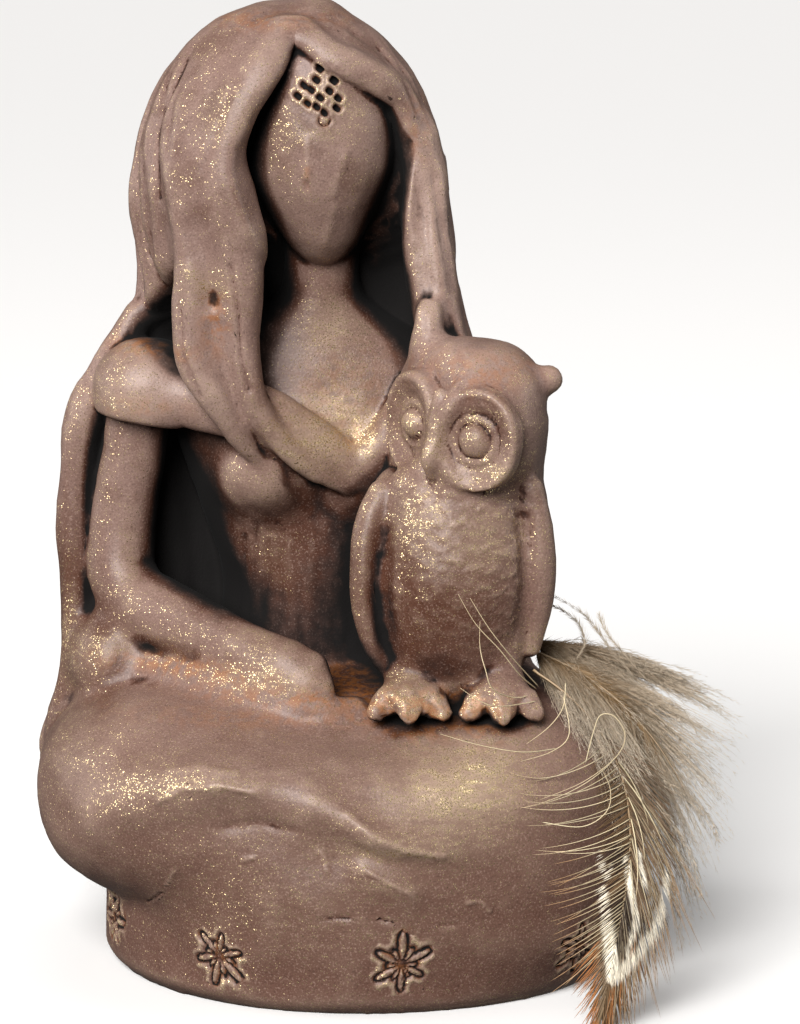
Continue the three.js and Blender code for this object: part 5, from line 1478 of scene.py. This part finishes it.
# Loose barbs in front of the owl and the lap: points (x, y, z) of the whole part
LOOSE_BARBS = (
    ((13.9, -33.5, 60), (16.4, -33, 55.6), (19.8, -32, 51.7), (22.6, -29, 47.6), (25.4, -22, 43.8)),
    ((15.6, -33, 59.3), (18.2, -32.6, 55), (21.4, -30, 50.4), (25.8, -22, 44)),
    ((17, -33, 56), (17, -33, 52.4), (17.7, -34, 49.5), (19.2, -33, 45.9), (24.6, -24, 42.6)),
    ((14.2, -36, 47.1), (17, -36, 45.2), (19.8, -34, 44), (25.4, -26, 43)),
    ((11.4, -39.5, 41.3), (17, -40, 39.8), (23, -39, 38.6), (28.1, -34, 38)),
    ((25.2, -42, 32.5), (31, -43, 35.2), (35.6, -42.6, 38.6), (37, -42, 41.6), (35.6, -41.6, 44.2),
     (33.6, -41.4, 44.4), (32.6, -41.6, 42), (31.5, -41.8, 37.5)),
    ((23.4, -40, 40), (26.6, -38, 42), (28.6, -36, 44.4), (29, -34, 47.6)),
    ((22.6, -40.4, 37.6), (27, -39.4, 38.8), (29.4, -38, 41), (28.6, -35, 46)),
    ((33.8, -42, 37), (35, -42.7, 34), (34.4, -43.1, 31), (31, -43.4, 29), (25.4, -43.1, 29.6)))


LOOSE_COLOUR = "#dccba6"  # of the pale barbs that stand free of the vane


class FIGURINE_OT_patterned_feather(bpy.types.Operator):
    """Builds the barred feather: separate curling barbs on its left, and a vane with cream chevrons"""
    bl_idname = "figurine.patterned_feather"
    bl_label = "Patterned Feather"

    def execute(self, context):
        settings = context.scene.figurine_feathers
        rng = np.random.default_rng(11)
        shaft = Shaft(**FEATHERS["patterned_feather"])
        length = FEATHERS["patterned_feather"]["length"]
        threads = Threads()

        def lay(side, first, last, spacing, angle, curl, reach, width, jitter=1.0, pale=0.0, rust_from=0.7,
                rust=0.0, lift=0.0, layers=0.16):
            count = max(int((last - first) * length / spacing), 2)
            shares = np.clip(np.linspace(first, last, count) + rng.normal(0, 0.002, count), 0, 1)
            degrees = by_share(angle, shares) + rng.normal(0, 1.6, count) * jitter
            bend = by_share(curl, shares) + rng.normal(0, 4, count) * jitter
            reaches = by_share(reach, shares) * (1 + rng.normal(0, 0.05, count) * jitter)
            lifts = lift + rng.uniform(-layers, layers, count)
            paths, front, t = barb_paths(shaft, shares, side, degrees, bend, reaches, lifts)
            paths = out_of_clay(paths, BARB_CLEARANCE)
            paths[..., 1] = np.maximum(paths[..., 1], FOREMOST)
            taper = width * (1 - 0.75 * t ** 2.5)
            x, z = paths[..., 0], paths[..., 2]
            cream = along_bars(x, z) * (1 - pale)
            threads.add(paths, np.broadcast_to(taper, x.shape), 0.5, front, cream=cream,
                        dark=on_spots(x, z, DARK_CENTRES) * (1 - pale),
                        rust=rust * smoothstep(rust_from, rust_from + 0.25, t) * np.ones_like(x),
                        pale=pale, tone=rng.uniform(0.72, 1.18, count)[:, None])

        place, _, _, front = shaft.at(np.linspace(0, 0.985, 40))
        threads.add(place[None], np.linspace(0.6, 0.15, 40)[None], 0.7, front[None],
                    cream=0, dark=0, rust=0.15, pale=0.3, tone=1)
        wide = settings.barb_width
        # The left side: brown near the shaft, then separate barbs that curl up at their ends
        lay(-1, 0.26, 0.97, settings.barb_spacing, ((0.3, 62), (0.6, 46), (0.85, 30), (1, 8)),
            ((0, 8), (1, 0)), ((0.26, 4), (0.45, 6.4), (0.75, 6.4), (0.93, 4.8), (1, 3)), wide)
        lay(-1, 0.28, 0.56, 1.2, ((0.2, 66), (0.56, 54)), ((0.2, 60), (0.56, 36)), ((0.2, 17), (0.56, 14.4)),
            wide * 0.85, jitter=1.6, pale=0.9, rust_from=0.6, rust=0.25, lift=0.35)
        lay(-1, 0.54, 0.8, 0.6, ((0.5, 54), (0.8, 36)), ((0.5, 28), (0.8, 6)), ((0.5, 14), (0.8, 11)),
            wide * 0.9, jitter=1.2, pale=0.5, rust_from=0.55, rust=0.5, lift=0.25)
        lay(-1, 0.74, 0.985, 0.28, ((0.7, 36), (1, 5)), ((0.7, 6), (1, 0)),
            ((0.7, 10.6), (0.9, 7.6), (1, 4.5)), wide, jitter=1.2, pale=0.1, rust_from=0.35, rust=1)
        # The right side: a streaked vane, with long separate barbs along its edge
        lay(1, 0.26, 0.97, settings.barb_spacing * 0.9, ((0.3, 34), (0.6, 32), (0.85, 28), (1, 6)),
            ((0, -14), (1, -4)), ((0.26, 10), (0.5, 13), (0.75, 11), (0.93, 6.4), (1, 3.4)), wide)
        lay(1, 0.36, 0.84, 0.34, ((0.3, 26), (0.84, 17)), ((0.3, -18), (0.84, -6)),
            ((0.3, 22), (0.6, 19), (0.84, 13.5)), wide * 0.8, jitter=1.6, pale=0.25, rust_from=0.6, rust=0.3,
            lift=-0.3, layers=0.5)
        lay(1, 0.6, 0.97, 0.4, ((0.6, 28), (1, 6)), ((0.6, -10), (1, 0)), ((0.6, 14), (0.85, 9), (1, 4)),
            wide * 0.8, jitter=1.4, pale=0.1, rust_from=0.4, rust=0.9, lift=-0.2, layers=0.3)
        lay(1, 0.34, 0.6, 2.4, ((0.3, 24), (0.6, 14)), ((0.3, -34), (0.6, -8)), ((0.3, 12), (0.6, 11)),
            wide * 1.1, jitter=2, pale=0.85, rust_from=0.6, rust=0.1, lift=0.7, layers=0.2)
        for points in LOOSE_BARBS:
            path = out_of_clay(curve_through(points, 6), DOWN_CLEARANCE)
            t = np.linspace(0, 1, len(path))
            taper = wide * (0.95 - 0.6 * (1 - t) ** 3)
            threads.add(path[None], taper[None], 0.8, np.array([0.0, -1, 0.2]),
                        cream=0, dark=0, rust=0.2 * (1 - t)[None], pale=0.95, tone=1)
        obj = threads.build("patterned_feather_barbs")
        layers = (("dark", settings.vane_dark), ("pale", linear(LOOSE_COLOUR)), ("rust", settings.tip_rust),
                  ("cream", settings.bar_cream))
        obj.data.materials.append(keratin("barred_game_bird_feather", settings.vane_brown, layers, 0.5))
        finish_piece(obj, "barred_feather", "patterned_feather")
        return {"FINISHED"}


DOWN_FACING = np.array([0.1, -1, 0.1])
DOWN_STATIONS = 9
TUFT_BARBULES = 22
WISP_BARBULES = 60


def add_fringed(threads, paths, along, tone, barbules, settings, rng):
    """Soft barbs along the paths, each fringed with short barbules. Along is per barb and station."""
    barbs, stations = paths.shape[:2]
    wide = settings.down_width
    taper = wide * (1.3 - np.linspace(0, 1, stations))
    threads.add(paths, np.broadcast_to(taper, (barbs, stations)), 1.0, DOWN_FACING, along=along, tone=tone)
    where = rng.uniform(0.08, 0.98, (barbs, barbules))
    index = where * (stations - 1)
    low = np.minimum(index.astype(int), stations - 2)
    part = (index - low)[..., None]
    row = np.arange(barbs)[:, None]
    start = paths[row, low] * (1 - part) + paths[row, low + 1] * part
    ahead = unit(paths[row, low + 1] - paths[row, low])
    out = unit(np.cross(ahead, rng.normal(0, 1, (barbs, barbules, 3)) * (0.35, 1, 0.35)))
    size = rng.uniform(0.8, 2.1, (barbs, barbules, 1)) * (1.2 - where[..., None] * 0.75)
    end = start + (ahead + out * 0.42) * size
    small = np.stack([start, end], axis=2).reshape(-1, 2, 3)
    shade = np.repeat(along[row, low].reshape(-1, 1), 2, axis=1)
    threads.add(small, wide * 0.75 * np.ones((len(small), 2)), 1.0, DOWN_FACING, along=shade,
                tone=np.repeat(np.repeat(tone, barbules, axis=0), 2, axis=1))


def add_down(threads, shaft, tufts, barbs, settings, rng):
    """Down in tufts: fine fringed barbs that run together from the shaft to a tip."""
    t = np.linspace(0, 1, DOWN_STATIONS)
    for share, tip, spread, droop in tufts:
        place, _, _, _ = shaft.at(np.clip(share + rng.normal(0, 0.05, barbs), 0, 1))
        tip = np.array(tip, float)
        reach = np.linalg.norm(tip - place, axis=1)[:, None]
        ends = tip + rng.normal(0, 0.042, (barbs, 3)) * reach
        ends = ends + np.array([0, 0, 1]) * rng.normal(0, spread * 0.12, (barbs, 1))
        ends = place + (ends - place) * rng.uniform(0.5, 1, (barbs, 1))
        middle = (place + ends) / 2 + rng.normal(0, 0.3 * spread, (barbs, 3)) * (1, 0.5, 1) + (0, 0, droop)
        along = t[None, :, None]
        paths = ((1 - along) ** 2 * place[:, None] + 2 * along * (1 - along) * middle[:, None]
                 + along ** 2 * ends[:, None])
        paths = out_of_clay(paths, DOWN_CLEARANCE)
        tone = rng.uniform(0.8, 1.22, (barbs, 1))
        paler = np.clip(reach / 24, 0.4, 1.05)  # long tufts are palest at their ends
        add_fringed(threads, paths, t[None] * paler, tone, TUFT_BARBULES, settings, rng)


def add_wisps(threads, wisps, settings, rng):
    """Single long barbs of down that curl away from the rest."""
    for points in wisps:
        path = curve_through(points, 4)
        for _ in range(3):
            shifted = out_of_clay(path + rng.normal(0, 0.25, 3), DOWN_CLEARANCE)
            shade = np.linspace(0.5, 1, len(path))[None]
            add_fringed(threads, shifted[None], shade, np.ones((1, 1)), WISP_BARBULES, settings, rng)


def build_down(name, tufts, wisps, barbs, settings, seed):
    rng = np.random.default_rng(seed)
    shaft = Shaft(**FEATHERS[name])
    threads = Threads()
    place, _, _, front = shaft.at(np.linspace(0, 0.8, 24))
    threads.add(place[None], np.linspace(0.6, 0.15, 24)[None], 0.8, front[None], along=0.2, tone=1)
    add_down(threads, shaft, tufts, barbs, settings, rng)
    add_wisps(threads, wisps, settings, rng)
    obj = threads.build(name + "_barbs")
    down = keratin("down_of_" + name, settings.down_root, (("along", settings.down_tip),), 0.7)
    obj.data.materials.append(down)
    finish_piece(obj, "down", name)


# Tufts of down: where on the shaft, the tip (x, y, z) of the whole part, how loose, how much it arches
LOWER_TUFTS = (
    (0.15, (56, -18, 33), 3, 2), (0.2, (53.4, -20, 29.6), 3, 2), (0.25, (53.8, -22, 25.4), 3, 2),
    (0.3, (52, -24, 20.8), 3, 2.4), (0.35, (50.4, -27, 17.2), 3, 2.6), (0.4, (49, -28, 9), 3, 2.4),
    (0.2, (47, -26, 26), 4, 1.6), (0.1, (44, -32, 29), 4, 1), (0.1, (41, -36, 31), 4, 1),
    (0.1, (36, -36, 34), 4, 0.6), (0.0, (32, -34, 38), 4, 0.4), (0.3, (43, -37, 21), 3, 1.2),
    (0.25, (39.4, -39, 19), 3, 0.8), (0.2, (45.6, -34, 16), 3, 1.4))
UPPER_TUFTS = (
    (0.2, (56, -13, 37), 3, 2.2), (0.2, (53.4, -12, 40.4), 3, 1.4), (0.2, (50, -12, 42), 3, 1.2),
    (0.1, (45, -13, 43.6), 3.6, 1), (0.1, (50, -16, 36), 4, 1.4), (0.1, (46, -18, 37.6), 4, 1.2),
    (0.05, (40, -17, 42), 4, 0.8), (0.0, (36, -18, 43), 4, 0.5), (0.0, (41, -24, 37), 4, 0.8),
    (0.0, (34, -24, 41), 4, 0.4))
LOWER_WISPS = (
    ((43, -34, 33), (47, -32, 30), (50, -29, 26), (51.4, -27, 22.4)),
    ((42, -34, 30), (45.4, -33, 25), (47.6, -31, 20), (48.6, -29, 15)),
    ((41, -36, 26), (43.4, -35, 20), (45, -33, 13), (45.8, -31, 7.6)))
UPPER_WISPS = (
    ((40, -13, 43.4), (36.4, -11, 47.4), (34, -10, 50.6), (32, -9, 52.6), (28, -6, 54.4)),
    ((41.6, -13, 43), (38.4, -12, 46.6), (35.6, -11, 49.8), (34.6, -10, 52.4)),
    ((31.4, -14, 46.6), (32.6, -12, 48.4), (31.8, -10, 51), (29.4, -8, 52.6), (27.6, -6, 53)))


class FIGURINE_OT_downy_feathers(bpy.types.Operator):
    """Builds the two downy feathers behind the patterned one, as tufts of fine fringed barbs"""
    bl_idname = "figurine.downy_feathers"
    bl_label = "Downy Feathers"

    def execute(self, context):
        settings = context.scene.figurine_feathers
        build_down("downy_feather", LOWER_TUFTS, LOWER_WISPS, 84, settings, 3)
        build_down("upper_feather", UPPER_TUFTS, UPPER_WISPS, 96, settings, 5)
        return {"FINISHED"}


# The stage

def look_at(obj, target):
    obj.rotation_euler = (Vector(target) - obj.location).to_track_quat("-Z", "Y").to_euler()


# In metres
VIEW_TARGET = (0.0058, 0, 0.0657)
FLOOR_HALF = 4
KEY_PLACE = (-0.23, -0.66, 0.42)
SOFTBOX_TARGET = (0, 0, 0.06)
# Each softbox: name, place, size and share of the power
SOFTBOXES = (
    ("left softbox", (-0.75, 0.12, 0.28), 0.5, 0.45), ("right softbox", (0.75, 0, 0.3), 0.4, 0.3),
    ("top softbox", (0, 0.1, 0.8), 0.5, 0.25))

VIEW_ELEVATION = math.radians(10)
KEY_ANGLE = math.radians(34)  # how wide the key light looks, which gives its shadows their soft edge
FRAME_WIDTH = 36  # millimetres, of the camera's sensor
LENS = 157.25  # millimetres


class FIGURINE_OT_stage(bpy.types.Operator):
    """Builds the pale floor, the soft studio light and the camera"""
    bl_idname = "figurine.stage"
    bl_label = "Stage"

    def execute(self, context):
        settings = context.scene.figurine_stage
        material, tree = new_material("white_paper_sweep")
        surface = add(tree, "ShaderNodeBsdfPrincipled", None, Roughness=0.9)
        surface.inputs["Base Color"].default_value = rgba(settings.floor_colour)
        add(tree, "ShaderNodeOutputMaterial", None, Surface=surface.outputs[0])
        mesh = bpy.data.meshes.new("floor")
        corners = [(x * FLOOR_HALF, y * FLOOR_HALF, 0) for x, y in ((-1, -1), (1, -1), (1, 1), (-1, 1))]
        mesh.from_pydata(corners, [], [(0, 1, 2, 3)])
        mesh.materials.append(material)
        floor = link(bpy.data.objects.new("floor", mesh))
        floor.visible_diffuse = False  # so that a white floor throws no light up into the hollows
        floor.visible_glossy = False

        sun = bpy.data.lights.new("key", "SUN")
        sun.energy = settings.key_strength
        sun.angle = KEY_ANGLE
        lamp = link(bpy.data.objects.new("key", sun))
        lamp.location = KEY_PLACE
        look_at(lamp, (0, 0, 0))
        for name, place, size, share in SOFTBOXES:
            light = bpy.data.lights.new(name, "AREA")
            light.size = size
            light.energy = share * settings.softbox_power
            lamp = link(bpy.data.objects.new(name, light))
            lamp.location = place
            look_at(lamp, SOFTBOX_TARGET)

        world = bpy.data.worlds.new("surround")
        world.use_nodes = True
        background = world.node_tree.nodes["Background"]
        background.inputs["Color"].default_value = (1, 1, 1, 1)
        background.inputs["Strength"].default_value = settings.surround
        context.scene.world = world
        context.scene.view_settings.view_transform = "Standard"

        camera = bpy.data.cameras.new("camera")
        camera.lens = LENS
        camera.sensor_width = FRAME_WIDTH
        camera.clip_start = 0.01
        viewer = link(bpy.data.objects.new("camera", camera))
        away = Vector((0, -math.cos(VIEW_ELEVATION), math.sin(VIEW_ELEVATION)))
        viewer.location = Vector(VIEW_TARGET) + settings.camera_distance * away
        look_at(viewer, VIEW_TARGET)
        context.scene.camera = viewer
        return {"FINISHED"}


class FIGURINE_PT_sidebar(bpy.types.Panel):
    """Lists the steps that build the figurine"""
    bl_idname = "FIGURINE_PT_sidebar"
    bl_label = "Figurine"
    bl_space_type = "VIEW_3D"
    bl_region_type = "UI"
    bl_category = "Figurine"

    def draw(self, context):
        for operator in OPERATORS:
            self.layout.operator(operator.bl_idname)
        scene = context.scene
        for group in (scene.figurine_clay, scene.figurine_feathers, scene.figurine_stage):
            box = self.layout.box()
            for name in group.bl_rna.properties.keys():
                if name not in ("rna_type", "name"):
                    box.prop(group, name)


OPERATORS = (FIGURINE_OT_clay_casting, FIGURINE_OT_patterned_feather, FIGURINE_OT_downy_feathers,
             FIGURINE_OT_stage)
CLASSES = (ClaySettings, FeatherSettings, StageSettings, *OPERATORS, FIGURINE_PT_sidebar)


def register():
    for item in CLASSES:
        bpy.utils.register_class(item)
    bpy.types.Scene.figurine_clay = PointerProperty(type=ClaySettings)
    bpy.types.Scene.figurine_feathers = PointerProperty(type=FeatherSettings)
    bpy.types.Scene.figurine_stage = PointerProperty(type=StageSettings)


def unregister():
    del bpy.types.Scene.figurine_stage
    del bpy.types.Scene.figurine_feathers
    del bpy.types.Scene.figurine_clay
    for item in reversed(CLASSES):
        bpy.utils.unregister_class(item)


def main():
    register()
    bpy.ops.figurine.clay_casting()
    bpy.ops.figurine.patterned_feather()
    bpy.ops.figurine.downy_feathers()
    bpy.ops.figurine.stage()


if __name__ == "__main__":
    main()
